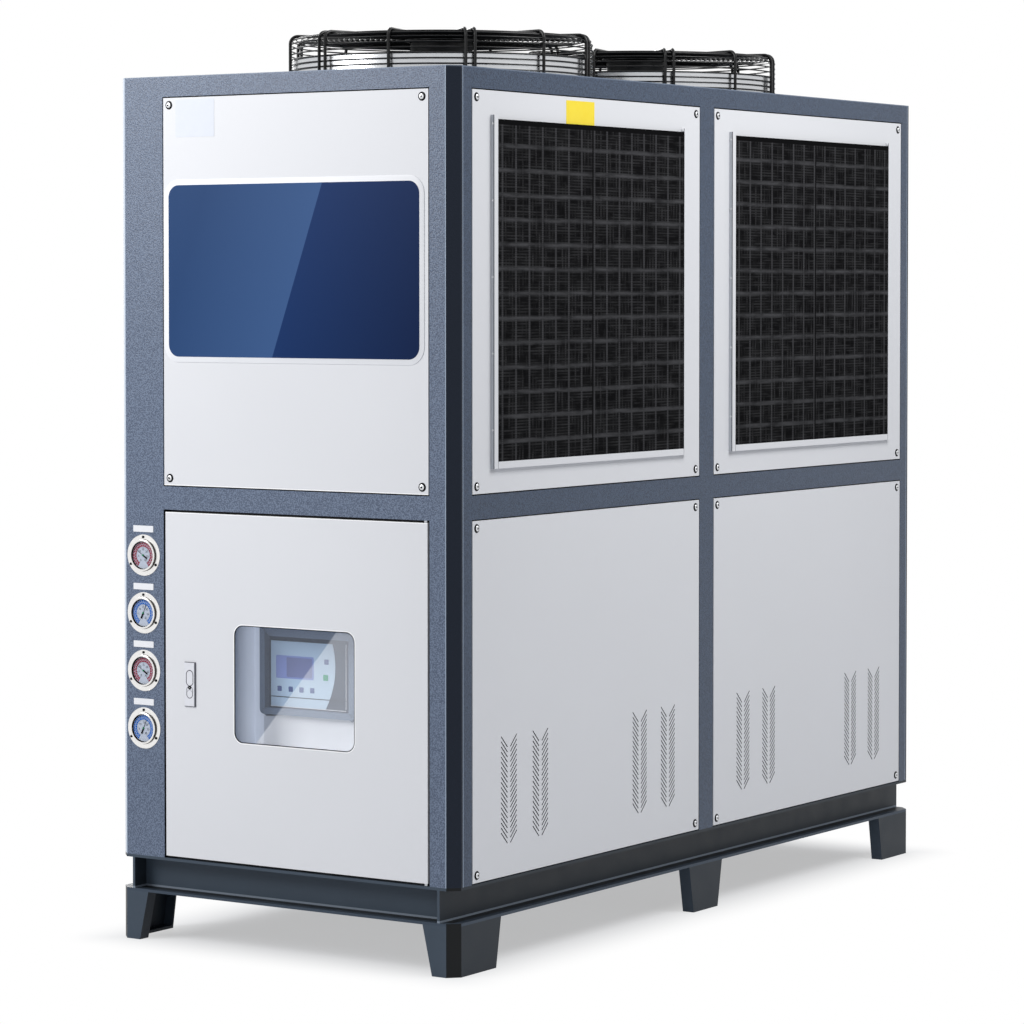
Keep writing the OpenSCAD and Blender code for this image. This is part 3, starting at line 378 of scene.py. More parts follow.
def piece(name, shape, materials, body, angle=35):
    """Makes the object, which is smooth but for its sharper edges"""
    bmesh.ops.recalc_face_normals(shape, faces=shape.faces)
    mesh = bpy.data.meshes.new(name)
    shape.to_mesh(mesh)
    shape.free()
    for material in materials:
        mesh.materials.append(material)
    mesh.shade_smooth()
    mesh.set_sharp_from_angle(angle=radians(angle))
    item = bpy.data.objects.new(name, mesh)
    world_scene.collection.objects.link(item)
    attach(item, body)
    return item


def facing(turn, across, up, out=0.0):
    """Place of a shape whose Z axis points out of the front, 0, the right
    side, 90, the rear, 180, or the left side, 270"""
    plane = half_l if turn in (0, 180) else half_w
    return (Matrix.Rotation(radians(turn), 4, "Z") @ Matrix.Translation((across, -plane - out, up))
            @ Matrix.Rotation(radians(90), 4, "X"))


def mottled(name, patch, low, high, rough, metallic=0.0, shine=0.5):
    """A finish in two hex colours, in patches of a size and a detail. Its
    roughness is one number, or goes with the patches from one to another"""
    material = finish(name)
    patches = noise(material, *patch)
    if isinstance(rough, tuple):
        rough = node(material, "MapRange", patches, 0.3, 0.7, *rough)
    node(material, "OutputMaterial", node(material, "BsdfPrincipled", {
        "Base Color": node(material, "MixRGB", patches, colour(low), colour(high)),
        "Metallic": metallic, "Roughness": rough, "Specular IOR Level": shine}))
    return material


# Zinc plate has a soft haze. The sockets and the cups of the washers are painted black as shade
bright_zinc = mottled("bright_zinc_plate", (0.004, 2), "#C6C8CB", "#E0E2E5",
                      (0.24, 0.36), metallic=1.0)
black_finish_and_shade = mottled("black_finish_and_painted_shade", (0.002, 1), "#0A0B0D", "#131417", 0.5, shine=0.1)

screw = bmesh.new()
lathe(screw, [(0, 0.0026), (0.0024, 0.0026), (0.0025, 0.0032), (0.0046, 0.0030),
              (0.0058, 0.0022), (0.0063, 0.0010), (0.0088, 0.0006), (0.0092, 0.0)], 20)
# The socket and the cup round the head are painted shade, black
for face in screw.faces:
    near, far = (pick(vert.co.xy.length for vert in face.verts) for pick in (min, max))
    if far < 0.0026 or near > 0.0057:
        face.material_index = 1
screw_in = 0.0152
screw_places = []
for bottom, top in ((0.1835, 0.9165), (0.9705, 1.7845)):
    for z in (bottom + screw_in, top - screw_in):
        for near, far in ((0.0325, 0.9275), (-0.9275, -0.0325)):
            for y in (near + screw_in, far - screw_in):
                screw_places += [facing(90, y, z), facing(270, y, z)]
        for x in (-0.3705 + screw_in, 0.3705 - screw_in):
            screw_places.append(facing(180, x, z))
        if top > 1:
            screw_places += [facing(0, -0.3075 + screw_in, z), facing(0, 0.3705 - screw_in, z)]
piece("panel_screws", copies(screw, screw_places), [bright_zinc, black_finish_and_shade], "cabinet")


# Sign on the upper front panel. A plate of thin plastic, printed dark blue
# inside a white rim and left without words. Its blue carries a painted
# reflection, a lighter field with a slanted edge on the left.
def rounded_plate(across, up, radius, thick, segments=6):
    """A plate with round corners, its back on the plane z = 0"""
    shape = bmesh.new()
    bmesh.ops.create_cube(shape, size=1.0)
    bmesh.ops.scale(shape, vec=(across, up, thick), verts=shape.verts)
    bmesh.ops.translate(shape, vec=(0, 0, thick / 2), verts=shape.verts)
    corners = [edge for edge in shape.edges
               if abs(edge.verts[0].co.z - edge.verts[1].co.z) > thick / 2]
    bmesh.ops.bevel(shape, geom=corners, offset=radius, affect="EDGES", segments=segments,
                    profile=0.5, material=-1)
    return shape


def soften(shape, offset, segments=2):
    """Rounds the rim of a plate's front face"""
    top = max(vert.co.z for vert in shape.verts)
    rim = [edge for edge in shape.edges
           if all(abs(vert.co.z - top) < 1e-6 for vert in edge.verts)]
    bmesh.ops.bevel(shape, geom=rim, offset=offset, affect="EDGES", segments=segments,
                    profile=0.5, material=-1)


sign_x = 0.0283
sign_z = 1.4215
white_film = mottled("gloss_white_printed_film", (0.08, 1), "#E6E7EA", "#ECEDF0", 0.3, shine=0.2)

blue_film = finish("gloss_dark_blue_printed_film")
blue_parts = axes(blue_film)
# The edge runs from x = 0.110 at the top, z = 1.606, to x = -0.020 at z = 1.243
blue_slope = node(blue_film, "Math", blue_parts["Z"], 0.130 / 0.363,
                  -0.020 - 1.243 * 0.130 / 0.363, operation="MULTIPLY_ADD")
blue_side = node(blue_film, "Math", blue_slope, blue_parts["X"], operation="SUBTRACT")
blue_mask = node(blue_film, "MapRange", blue_side, 0.0, 0.001, 0, 1)
# Painted reflection: the field left of the edge is lighter, and the blue darkens away from the
# edge on both sides
blue_left = node(blue_film, "MapRange", blue_side, 0.0, 0.30, 0.85, 0.1)
blue_reflection = node(blue_film, "MixRGB", blue_left, colour("#24406A"), colour("#3C5A88"))
blue_right = node(blue_film, "MapRange", blue_side, -0.35, 0.0, 0.0, 1.0)
blue_dark = node(blue_film, "MixRGB", blue_right, colour("#0A2046"), colour("#14305F"))
blue_colour = node(blue_film, "MixRGB", blue_mask, blue_dark, blue_reflection)
node(blue_film, "OutputMaterial", node(blue_film, "BsdfPrincipled", {
    "Base Color": blue_colour, "Roughness": 0.34, "Specular IOR Level": 0.06}))

sign_rim = rounded_plate(0.666, 0.3825, 0.037, 0.0012, 10)
soften(sign_rim, 0.0005)
sign_rim.transform(facing(0, sign_x, sign_z))
piece("sign_plate", sign_rim, [white_film], "cabinet")
sign_field = rounded_plate(0.6425, 0.3595, 0.026, 0.0004, 10)
sign_field.transform(facing(0, sign_x, sign_z, 0.0012))
piece("sign_field", sign_field, [blue_film], "cabinet")


# Bare plates. A small silver film plate at the upper left of the front and a
# yellow one over the near filter, each glued on and left without words.
silver_film = mottled("pale_silver_film", (0.02, 2), "#D9DDE6", "#DEE2EA", 0.4, shine=0.15)
small_plate = rounded_plate(0.1028, 0.0785, 0.0015, 0.0004, 2)
small_plate.transform(facing(0, -0.2235, 1.7410))
piece("bare_plate", small_plate, [silver_film], "cabinet")

yellow_film = mottled("gloss_yellow_film", (0.02, 2), "#F6DA30", "#FAE244", 0.3, shine=0.2)
yellow_plate = rounded_plate(0.110, 0.050, 0.0015, 0.0004, 2)
yellow_plate.transform(facing(90, -0.524, 1.752))
piece("yellow_plate", yellow_plate, [yellow_film], "cabinet")


# Filters. A black nylon net is moulded on a square plastic grid and slides
# down into bent sheet rails beside each coil window. The net is drawn coarser
# than the real one, 3 mm for about 1 mm, so that it shows.
net = finish("woven_nylon_net_on_moulded_grid")
net_y, net_z = axes(net, signed=False)[1:]


def stripes(owner, value, start, pitch, width, soft=0.15):
    """1 on bars of a width that repeat at a pitch, 0 between them"""
    shifted = node(owner, "Math", value, start, operation="SUBTRACT")
    wrapped = node(owner, "Math", shifted, pitch / 2, operation="PINGPONG")
    return node(owner, "MapRange", wrapped, width / 2 * (1 - soft), width / 2 * (1 + soft), 1.0,
                0.0)


grid_pitch = 0.050
grid_z = 1.37425
bay_y = 0.480
grid_up = stripes(net, net_y, bay_y, grid_pitch, 0.0060, 0.6)
grid_across = stripes(net, net_z, grid_z, grid_pitch, 0.0080, 0.6)
# Threads run both ways, and each way shows in some places and fades in others
fray_up = noise(net, 0.020, 3, 0.6, (1, 1.4, 0.3))
fray_across = noise(net, 0.020, 3, 0.6, (1, 0.25, 1.6))
weave_up = node(net, "Math", stripes(net, net_y, bay_y, 0.0125, 0.0060, 0.9),
                node(net, "MapRange", fray_up, 0.45, 0.65, 0.0, 1.0), operation="MULTIPLY")
weave_across = node(net, "Math", stripes(net, net_z, grid_z, 0.0062, 0.0030, 0.9),
                    node(net, "MapRange", fray_across, 0.40, 0.62, 0.0, 1.0), operation="MULTIPLY")
# Each thread shows as a row of dashes, where it passes over the others
thread_y = stripes(net, net_y, bay_y, 0.0052, 0.0030, 0.9)
thread_z = stripes(net, net_z, grid_z, 0.0048, 0.0028, 0.9)
weave_up = node(net, "Math", weave_up, node(net, "MapRange", thread_z, 0.0, 1.0, 0.35, 1.0),
                operation="MULTIPLY")
weave_across = node(net, "Math", weave_across,
                    node(net, "MapRange", thread_y, 0.0, 1.0, 0.35, 1.0), operation="MULTIPLY")
weave = node(net, "Math", weave_up, weave_across, operation="MAXIMUM")
net_colour = node(net, "MixRGB", weave, colour("#141415"), colour("#3A3A3B"))
# Dashes along the bars, where threads cross them
dash = stripes(net, net_z, grid_z, 0.0042, 0.0026, 0.9)
bar_up = node(net, "Math", grid_up,
              node(net, "MapRange", node(net, "Math", dash, fray_up, operation="MULTIPLY"), 0.1,
                   0.7, 0.45, 1.0), operation="MULTIPLY")
bar_across = node(net, "Math", grid_across,
                  node(net, "MapRange", fray_across, 0.35, 0.65, 0.30, 0.95), operation="MULTIPLY")
net_colour = node(net, "MixRGB", node(net, "Math", bar_up, bar_across, operation="MAXIMUM"),
                  net_colour, colour("#48484A"))
# The seam where the two halves of the net meet, and a painted shadow across the top of the net,
# both plain dark
seam = stripes(net, net_y, bay_y + 0.006, 4.0, 0.005)
net_top_shadow = where(net, (net_z, 1.717))
net_colour = node(net, "MixRGB", node(net, "Math", seam, net_top_shadow, operation="MAXIMUM"), net_colour,
                  colour("#141415"))
node(net, "OutputMaterial", node(net, "BsdfPrincipled", {
    "Base Color": net_colour, "Roughness": 0.7, "Specular IOR Level": 0.0,
    "Normal": node(net, "Bump", {"Strength": 0.5, "Distance": 0.001, "Height": weave})}))
dress(net, "filter_screens_right", "filter_screens_left")

# Blind rivets along the outer wall of each upright rail
rivet = bmesh.new()
lathe(rivet, [(0, 0.0012), (0.0014, 0.0011), (0.0026, 0.0005), (0.0027, 0)], 10)
rivet_places = []
for side, turn in ((1, 90), (-1, 270)):
    for middle in (-bay_y, bay_y):
        for hand in (-1, 1):
            for step in range(5):
                wall = (half_w + 0.0045) * side, middle + hand * 0.3815, 1.098 + step * 0.155
                rivet_places.append(Matrix.Translation(wall)
                                    @ Matrix.Rotation(radians(-90 * hand), 4, "X"))
piece("rail_rivets", copies(rivet, rivet_places), [bright_zinc], "cabinet")


# Condenser coils. Thin aluminium fins are pressed on copper tubes behind each
# filter, close enough to read as fine upright lines.
fins = finish("pressed_aluminium_fins")
fin_parts = axes(fins)
# Fins stand 2 mm apart and are drawn at 4 mm
fin_lines = stripes(fins, fin_parts["Y"], 0.0, 0.004, 0.002, 0.6)
node(fins, "OutputMaterial", node(fins, "BsdfPrincipled", {
    "Base Color": node(fins, "MixRGB", fin_lines, colour("#6D7174"), colour("#B9BDC0")),
    "Metallic": 0.9, "Roughness": 0.4,
    "Normal": node(fins, "Bump", {"Strength": 0.6, "Distance": 0.001, "Height": fin_lines})}))
dress(fins, "condenser_coils")


# Fan rings. A cylinder of bright rolled sheet with a flared mouth leads the
# air to each fan, and its flange is bolted to the roof.
rolled = mottled("bright_rolled_steel_sheet", (0.25, 3, 0.6, (1, 1, 60)), "#B9BBBE", "#D3D5D8",
                 (0.18, 0.32), metallic=1.0)
dress(rolled, "fan_ring_front", "fan_ring_rear")

roof_z = 1.830
fan_ys = (-0.405, 0.405)
bolt = bmesh.new()
bmesh.ops.create_cone(bolt, cap_ends=True, segments=6, radius1=0.0075, radius2=0.0075,
                      depth=0.0053, matrix=Matrix.Translation((0, 0, 0.0043)))
lathe(bolt, [(0, 0.0016), (0.0084, 0.0016), (0.0084, 0)], 16)
bolt_places = [Matrix.Translation((0, y, roof_z + 0.003))
               @ Matrix.Rotation(radians(30 * i), 4, "Z") @ Matrix.Translation((0.3375, 0, 0))
               for y in fan_ys for i in range(12)]
piece("ring_bolts", copies(bolt, bolt_places), [bright_zinc], "cabinet")


# Fan guards. Each is a cage of steel wire: twelve spokes of 7 mm wire, every
# second one doubled, run from a plate in the middle down to the ring flange,
# with ring wires welded inside them. It is dipped in gloss black plastic.
black_dip = mottled("gloss_black_dip_coat", (0.02, 2), "#070708", "#0E0F11",
                    (0.26, 0.38), shine=0.25)

# The plate in the middle has the duller paint of the fan
satin_black = mottled("satin_black_fan_paint", (0.03, 3), "#0B0C0E", "#15171A",
                      (0.5, 0.6), shine=0.25)

guard_top = 1.935
guard_r = 0.3375
guard_bend = 0.020
spoke_r = 0.0035
spoke_pair = 0.020
wire_r = 0.0016
wire_pitch = 0.0115
hub_r = 0.080
spoke_foot = roof_z + 0.003
hub_t = 0.0046
weld = 0.0006


def bend_wire(shape, radius, sides, path):
    """Sweeps a round wire along points that lie in the XZ plane"""
    rings = []
    for at, (x, z) in enumerate(path):
        before = path[max(at - 1, 0)]
        after = path[min(at + 1, len(path) - 1)]
        lean = atan2(after[1] - before[1], after[0] - before[0])
        turn = (Matrix.Translation((x, 0, z)) @ Matrix.Rotation(-lean, 4, "Y")
                @ Matrix.Rotation(radians(90), 4, "Y"))
        made = bmesh.ops.create_circle(shape, cap_ends=at in (0, len(path) - 1), segments=sides,
                                       radius=radius, matrix=turn)
        rings.append(made["verts"])
    for first, second in zip(rings, rings[1:]):
        edges = [edge for edge in shape.edges
                 if (edge.verts[0] in first and edge.verts[1] in first)
                 or (edge.verts[0] in second and edge.verts[1] in second)]
        bmesh.ops.bridge_loops(shape, edges=edges)


def wire_ring(shape, radius, height):
    """Adds a closed ring of the thin wire"""
    ring = bmesh.new()
    lathe(ring, [(radius + wire_r * cos(a * pi / 4), height + wire_r * sin(a * pi / 4))
                 for a in range(8)], 96, closed=True)
    copies(ring, [Matrix()], shape)


spoke = bmesh.new()
arc_r = guard_bend - spoke_r
leg = guard_r - spoke_r
crown = guard_top - spoke_r
path = [(hub_r / 2, crown)]
path += [(leg - arc_r + arc_r * sin(a * pi / 16), crown - arc_r + arc_r * cos(a * pi / 16))
         for a in range(9)]
path += [(leg, spoke_foot)]
bend_wire(spoke, spoke_r, 10, path)
guard = copies(spoke, [Matrix.Rotation(radians(30 * i + 15), 4, "Z")
                       @ Matrix.Translation((0, side * spoke_pair / 2, 0))
                       for i in range(12) for side in ((0,) if i % 2 else (-1, 1))])
# Rings across the top, down the side and one in the bend
top_z = guard_top - 2 * spoke_r - wire_r + weld
crown_r = guard_r - guard_bend
for i in range(int((crown_r - hub_r) / wire_pitch)):
    wire_ring(guard, crown_r - i * wire_pitch, top_z)
side_r = guard_r - 2 * spoke_r - wire_r + weld
side_top = guard_top - guard_bend
for i in range(int((side_top - spoke_foot) / wire_pitch)):
    wire_ring(guard, side_r, side_top - i * wire_pitch)
inner = guard_bend - 2 * spoke_r - wire_r + weld
wire_ring(guard, crown_r + inner * sin(pi / 4), side_top + inner * cos(pi / 4))
hub_low = top_z + wire_r - hub_t
hub = bmesh.new()
lathe(hub, [(0, hub_low + hub_t), (hub_r - 0.001, hub_low + hub_t), (hub_r, hub_low + 0.0036),
            (hub_r, hub_low + 0.001), (hub_r - 0.001, hub_low), (0, hub_low)], 64)
for face in hub.faces:
    face.material_index = 1
copies(hub, [Matrix()], guard)
for name, fan_y in zip(("front", "rear"), fan_ys):
    placed = guard.copy()
    placed.transform(Matrix.Translation((0, fan_y, 0)))
    guard_piece = piece("guard_wires_" + name, placed, [black_dip, satin_black], "cabinet")
    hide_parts("fan_guard_" + name)
guard.free()


# Fan motors and rotors. The motor hangs from the middle plate of the guard
# and turns a cup that carries seven pressed steel blades. Satin black paint.
dress(satin_black, "fan_motor_front", "fan_motor_rear", "fan_rotor_front", "fan_rotor_rear")


# Pressure gauges. Each stainless steel case goes through the post and is held
# by three screws in its flange. The dial carries ticks, plain numbers, a
# coloured band and a black pointer, under a flat glass.
steel = mottled("polished_stainless_steel", (0.006, 2), "#E6E5E3", "#F2F1F0",
                (0.16, 0.26), metallic=1.0)

# The walls of the bezel are painted dark, as painted shade and a painted reflection of the dark
# post
steel_painted_shade = mottled("stainless_steel_painted_shade", (0.006, 2), "#3A3633", "#4A4642", 0.3, metallic=1.0)

gauge_x = -0.364
gauge_zs = [0.820 - 0.1225 * i for i in range(4)]
gauge_shape = bmesh.new()
lathe(gauge_shape, [(0, 0.0022), (0.0280, 0.0022), (0.0284, 0.0032), (0.0294, 0.0068),
                    (0.0302, 0.0076), (0.0320, 0.0076), (0.0331, 0.0068), (0.0335, 0.0058),
                    (0.0335, 0.0028), (0.0343, 0.0021), (0.0430, 0.0020), (0.0440, 0.0010),
                    (0.0440, 0.0), (0.0310, 0.0), (0.0310, -0.0390), (0.0300, -0.0400),
                    (0, -0.0400)], 56)
# The inner and outer walls of the bezel take the painted shade
for face in gauge_shape.faces:
    near, far = (pick(vert.co.xy.length for vert in face.verts) for pick in (min, max))
    if 0.0279 < near and far < 0.0295 or 0.0332 < near and far < 0.0344:
        face.material_index = 1
gauge_bodies = piece("gauge_bodies",
                     copies(gauge_shape, [facing(0, gauge_x, z) for z in gauge_zs]),
                     [steel, steel_painted_shade], "cabinet", 30)
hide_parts("pressure_gauges")

gauge_screw = bmesh.new()
lathe(gauge_screw, [(0, 0.0012), (0.0010, 0.0012), (0.0012, 0.0020), (0.0022, 0.0019),
                    (0.0028, 0.0012), (0.0029, 0)], 14)
screw_circle = 0.0388
piece("gauge_screws", copies(gauge_screw, [
    facing(0, gauge_x + screw_circle * sin(radians(120 * i)),
           z + screw_circle * cos(radians(120 * i)), 0.002)
    for z in gauge_zs for i in range(3)]), [black_finish_and_shade], "cabinet")


def printed(name, code, rough=0.4):
    """Screen printed ink or a plain matt film, a little uneven"""
    ink = finish(name)
    wave = noise(ink, 0.01, 2)
    mixed = node(ink, "MixRGB", node(ink, "MapRange", wave, 0.2, 0.8, 0.0, 0.02), colour(code),
                 colour("#FFFFFF"))
    node(ink, "OutputMaterial", node(ink, "BsdfPrincipled", {
        "Base Color": mixed, "Roughness": rough, "Specular IOR Level": 0.1}))
    return ink


def paint(verts, index):
    """Gives the faces round some vertices one of the materials of their piece"""
    for vert in verts:
        for face in vert.link_faces:
            face.material_index = index


def block(shape, place, size, index):
    """A small block at a place, in one of the materials of its piece"""
    made = bmesh.ops.create_cube(shape, size=1.0)
    bmesh.ops.transform(shape, verts=made["verts"], matrix=place @ Matrix.Diagonal((*size, 1)))
    paint(made["verts"], index)


dial_white = printed("printed_dial_white", "#D4D6DE")
dial_red = printed("printed_dial_red", "#A01430")
dial_blue = printed("printed_dial_blue", "#0069C2")
ink_black = printed("printed_black_ink", "#09090C")
ink_green = printed("printed_green_ink", "#1E8C58")
dial_out = 0.0023
for place, (z, band) in enumerate(zip(gauge_zs, (dial_red, dial_blue, dial_red, dial_blue))):
    dial = bmesh.new()
    bmesh.ops.create_circle(dial, cap_ends=True, segments=48, radius=0.0279)
    # Band from 7 o'clock over the top to 5 o'clock
    first = dial.verts.new((0.0185, 0, 0.0001))
    second = dial.verts.new((0.0272, 0, 0.0001))
    strip = [first, second, dial.edges.new((first, second))]
    bmesh.ops.rotate(dial, verts=[first, second], cent=(0, 0, 0),
                     matrix=Matrix.Rotation(radians(-60), 3, "Z"))
    bmesh.ops.spin(dial, geom=strip, cent=(0, 0, 0), axis=(0, 0, 1), angle=radians(300), steps=50)
    for face in dial.faces:
        if len(face.verts) == 4:
            face.material_index = 1
    # Ticks on the inner edge of the band, white marks on it and a black outline
    marks = [(radians(-60 + 10 * i), 0.0183, 0.0034 if i % 5 == 0 else 0.0018, 0.00045, 2)
             for i in range(31)]
    marks += [(radians(-58 + 7.25 * i), 0.0262 - 0.0016 * (i % 2), 0.0046, 0.0011, 0)
              for i in range(41)]
    for turn, out, long, thick, ink in marks:
        block(dial, Matrix.Rotation(turn, 4, "Z")
              @ Matrix.Translation((out - long / 2, 0, 0.00015)), (long, thick, 0.0001), ink)
    # Pointer and tail
    lean = radians(-32) if band is dial_red else radians(-114)
    for length, width, way in ((0.0130, 0.0036, 0), (0.0190, 0.0009, pi)):
        block(dial, Matrix.Rotation(lean + way, 4, "Z")
              @ Matrix.Translation((length / 2, 0, 0.0009)), (length, width, 0.0003), 2)
    made = bmesh.ops.create_cone(dial, cap_ends=True, segments=20, radius1=0.0021,
                                 radius2=0.0019, depth=0.0014,
                                 matrix=Matrix.Translation((0, 0, 0.0011)))
    paint(made["verts"], 3)
    dial.transform(facing(0, gauge_x, z, dial_out))
    piece("gauge_dial_%d" % (place + 1), dial, [dial_white, band, ink_black, ink_green],
          "cabinet")

# Numbers 0 to 30 inside the ticks
numbers = bmesh.new()
for z in gauge_zs:
    for i in range(7):
        text = bpy.data.curves.new("number", "FONT")
        text.body = str(5 * (6 - i))
        text.size = 0.0063
        text.align_x = "CENTER"
        text.align_y = "CENTER"
        written = bpy.data.objects.new("number", text)
        world_scene.collection.objects.link(written)
        flat = bpy.data.meshes.new_from_object(
            written.evaluated_get(bpy.context.evaluated_depsgraph_get()))
        turn = radians(-60 + 50 * i)
        flat.transform(facing(0, gauge_x, z, dial_out + 0.0002)
                       @ Matrix.Translation((0.0121 * cos(turn), 0.0121 * sin(turn), 0)))
        numbers.from_mesh(flat)
        bpy.data.objects.remove(written)
        bpy.data.curves.remove(text)
        bpy.data.meshes.remove(flat)
piece("gauge_numbers", numbers, [ink_black], "cabinet")

# Clear float glass, nearly invisible but for its shine
glass = finish("clear_gauge_glass")
glass_clear = node(glass, "BsdfTransparent", {"Color": colour("#F6F8FA")})
glass_shine = node(glass, "BsdfGlossy", {"Color": (1, 1, 1, 1), "Roughness": 0.05})
glass_share = node(glass, "LayerWeight", {"Blend": 0.04})
node(glass, "OutputMaterial",
     node(glass, "MixShader", glass_share.outputs["Fresnel"], glass_clear, glass_shine))
gauge_glass = bmesh.new()
lathe(gauge_glass, [(0, 0.0046), (0.0286, 0.0046), (0.0289, 0.0056), (0, 0.0056)], 48)
gauge_glasses = piece("gauge_glasses",
                      copies(gauge_glass, [facing(0, gauge_x, z) for z in gauge_zs]),
                      [glass], "cabinet")
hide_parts("gauge_lenses")

plate_master = rounded_plate(0.054, 0.0135, 0.001, 0.0008, 2)
piece("gauge_plates", copies(plate_master, [facing(0, gauge_x - 0.0008, z + 0.0560)
                                            for z in gauge_zs]),
      [white_film], "cabinet")


# Control recess and controller. Behind the window a light grey moulded tub
# carries the controller, whose grey housing has a sunk face with a pale film,
# a display and flat keys.
tub = finish("light_grey_moulded_plastic")
tub_wave = noise(tub, 0.1, 2)
tub_parts = axes(tub)
tub_way = axes(tub, "Normal")
tub_base = node(tub, "MixRGB", tub_wave, colour("#EEF0F4"), colour("#F2F4F8"))
# Painted shade: the left wall of the tub is painted grey, most towards the pane, and its roof a
# lighter grey
tub_wall = where(tub, (tub_way["X"], 0.3))
tub_shade_fade = node(tub, "MapRange", tub_parts["Y"], -0.985, -0.925, 0.95, 0.0)
tub_base = node(tub, "MixRGB", node(tub, "Math", tub_wall, tub_shade_fade, operation="MULTIPLY"),
                tub_base, colour("#8E98AC"))
tub_roof_shade = node(tub, "Math", where(tub, (-0.3, tub_way["Z"])), 0.5, operation="MULTIPLY")
tub_base = node(tub, "MixRGB", tub_roof_shade, tub_base, colour("#A2ABBE"))
# The left wall, and the back wall left of the controller, glow a little, more towards the back:
# painted light, though there is no lamp there
tub_back = where(tub, (-0.114, tub_parts["X"]), (-0.3, tub_way["Y"]))
tub_painted_glow = node(tub, "MapRange", tub_parts["Y"], -0.962, -0.902, 0.0, 0.34)
node(tub, "OutputMaterial", node(tub, "BsdfPrincipled", {
    "Base Color": tub_base, "Roughness": 0.45, "Specular IOR Level": 0.2,
    "Emission Color": colour("#C2C8D2"),
    "Emission Strength": node(tub, "Math",
                              node(tub, "Math", tub_wall, tub_back, operation="MAXIMUM"),
                              tub_painted_glow, operation="MULTIPLY")}))
dress(tub, "control_recess")

grey = finish("grey_blue_moulded_plastic")
grey_grain = noise(grey, 0.0015, 1)
grey_parts = axes(grey)
grey_way = axes(grey, "Normal")
grey_base = node(grey, "MixRGB", grey_grain, colour("#758498"), colour("#7C8B9E"))
# Painted shade on the sloped walls on the left and at the top of the sunk face, and a darker
# painted shade on the deepest part, the sunk face itself
recess_in = 0.090
housing_t = 0.012
control_y = -half_l + recess_in - housing_t
grey_slope = node(grey, "Math", where(grey, (grey_way["X"], 0.3)),
                  where(grey, (-0.3, grey_way["Z"])), operation="MAXIMUM")
grey_wall_shade = where(grey, (grey_slope, 0.5), (0.9, axes(grey, "Normal", signed=False)["Y"]),
                  (grey_parts["Y"], control_y))
for place, tone in ((grey_wall_shade, "#485464"),
                    (where(grey, (grey_parts["Y"], control_y + 0.007)), "#354150")):
    grey_base = node(grey, "MixRGB", place, grey_base, colour(tone))
node(grey, "OutputMaterial", node(grey, "BsdfPrincipled", {
    "Base Color": grey_base, "Roughness": 0.45, "Specular IOR Level": 0.2,
    "Normal": node(grey, "Bump", {"Strength": 0.15, "Distance": 0.0003, "Height": grey_grain})}))

# The housing's front is sunk in two steps, a flat bezel and a sloped wall
face_in = 0.008
housing = rounded_plate(0.246, 0.190, 0.010, housing_t)
front = max(housing.faces, key=lambda face: face.calc_center_median().z)
bmesh.ops.inset_region(housing, faces=[front], thickness=0.013, depth=0.0)
bmesh.ops.inset_region(housing, faces=[front], thickness=0.009, depth=-face_in)
bmesh.ops.translate(housing, vec=(0, -0.007, 0), verts=front.verts)
housing.transform(Matrix.Translation((0.007, control_y + housing_t, 0.587))
                  @ Matrix.Rotation(radians(90), 4, "X"))
housing_piece = piece("controller_housing", housing, [grey], "cabinet")
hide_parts("controller")

film_blue = printed("pale_blue_key_film", "#CDE4F6", 0.35)
film_violet = printed("violet_display_frame", "#9AA8E2", 0.35)
display = printed("grey_violet_display", "#868CB6", 0.2)
key_ink = printed("grey_blue_key_ink", "#56669C", 0.35)
key_green = printed("green_key", "#2FA878", 0.35)
face_y = control_y + face_in
face_low, face_high = 0.507, 0.649
face_left = -0.0935


def on_face(x, z, out=0.0):
    """Place on the controller's sunk face"""
    return Matrix.Translation((x, face_y - out, z)) @ Matrix.Rotation(radians(90), 4, "X")


# The film covers three quarters of the face and its right edge is bowed
film = bmesh.new()
bmesh.ops.create_grid(film, x_segments=2, y_segments=16, size=0.5)
film_w = 0.157
film_h = face_high - face_low - 0.004
for vert in film.verts:
    bow = 0.010 - 0.060 * (vert.co.y - 0.15) ** 2
    vert.co.x = (vert.co.x + 0.5) * (film_w + bow)
    vert.co.y *= film_h
made = bmesh.ops.extrude_face_region(film, geom=film.faces[:])
bmesh.ops.translate(film, vec=(0, 0, 0.0006),
                    verts=[item for item in made["geom"] if isinstance(item, bmesh.types.BMVert)])
film.transform(on_face(face_left + 0.002, (face_low + face_high) / 2))
piece("controller_film", film, [film_blue], "cabinet")

for name, material, across, up, x, z, out in (
        ("display_frame", film_violet, 0.098, 0.048, -0.029, 0.593, 0.0006),
        ("display_glass", display, 0.066, 0.041, -0.017, 0.593, 0.0010),
        # The groove is a thin black strip, painted shade
        ("controller_groove", black_finish_and_shade, 0.200, 0.0016, 0.007, 0.5300, 0.0007)):
    plate = rounded_plate(across, up, min(up, across) * 0.06, 0.0006, 2)
    plate.transform(on_face(x, z, out))
    piece(name, plate, [material], "cabinet")

# A painted highlight, a thin white strip, runs along the right and the lower edge of the sunk face
edge_highlight = bmesh.new()
for across, up, x, z in ((0.0014, 0.136, 0.1035, 0.580), (0.196, 0.0014, 0.0060, 0.5095)):
    copies(rounded_plate(across, up, 0.0006, 0.0006, 2), [on_face(x, z, 0.0007)], edge_highlight)
piece("controller_edge_highlight", edge_highlight, [white_film], "cabinet")

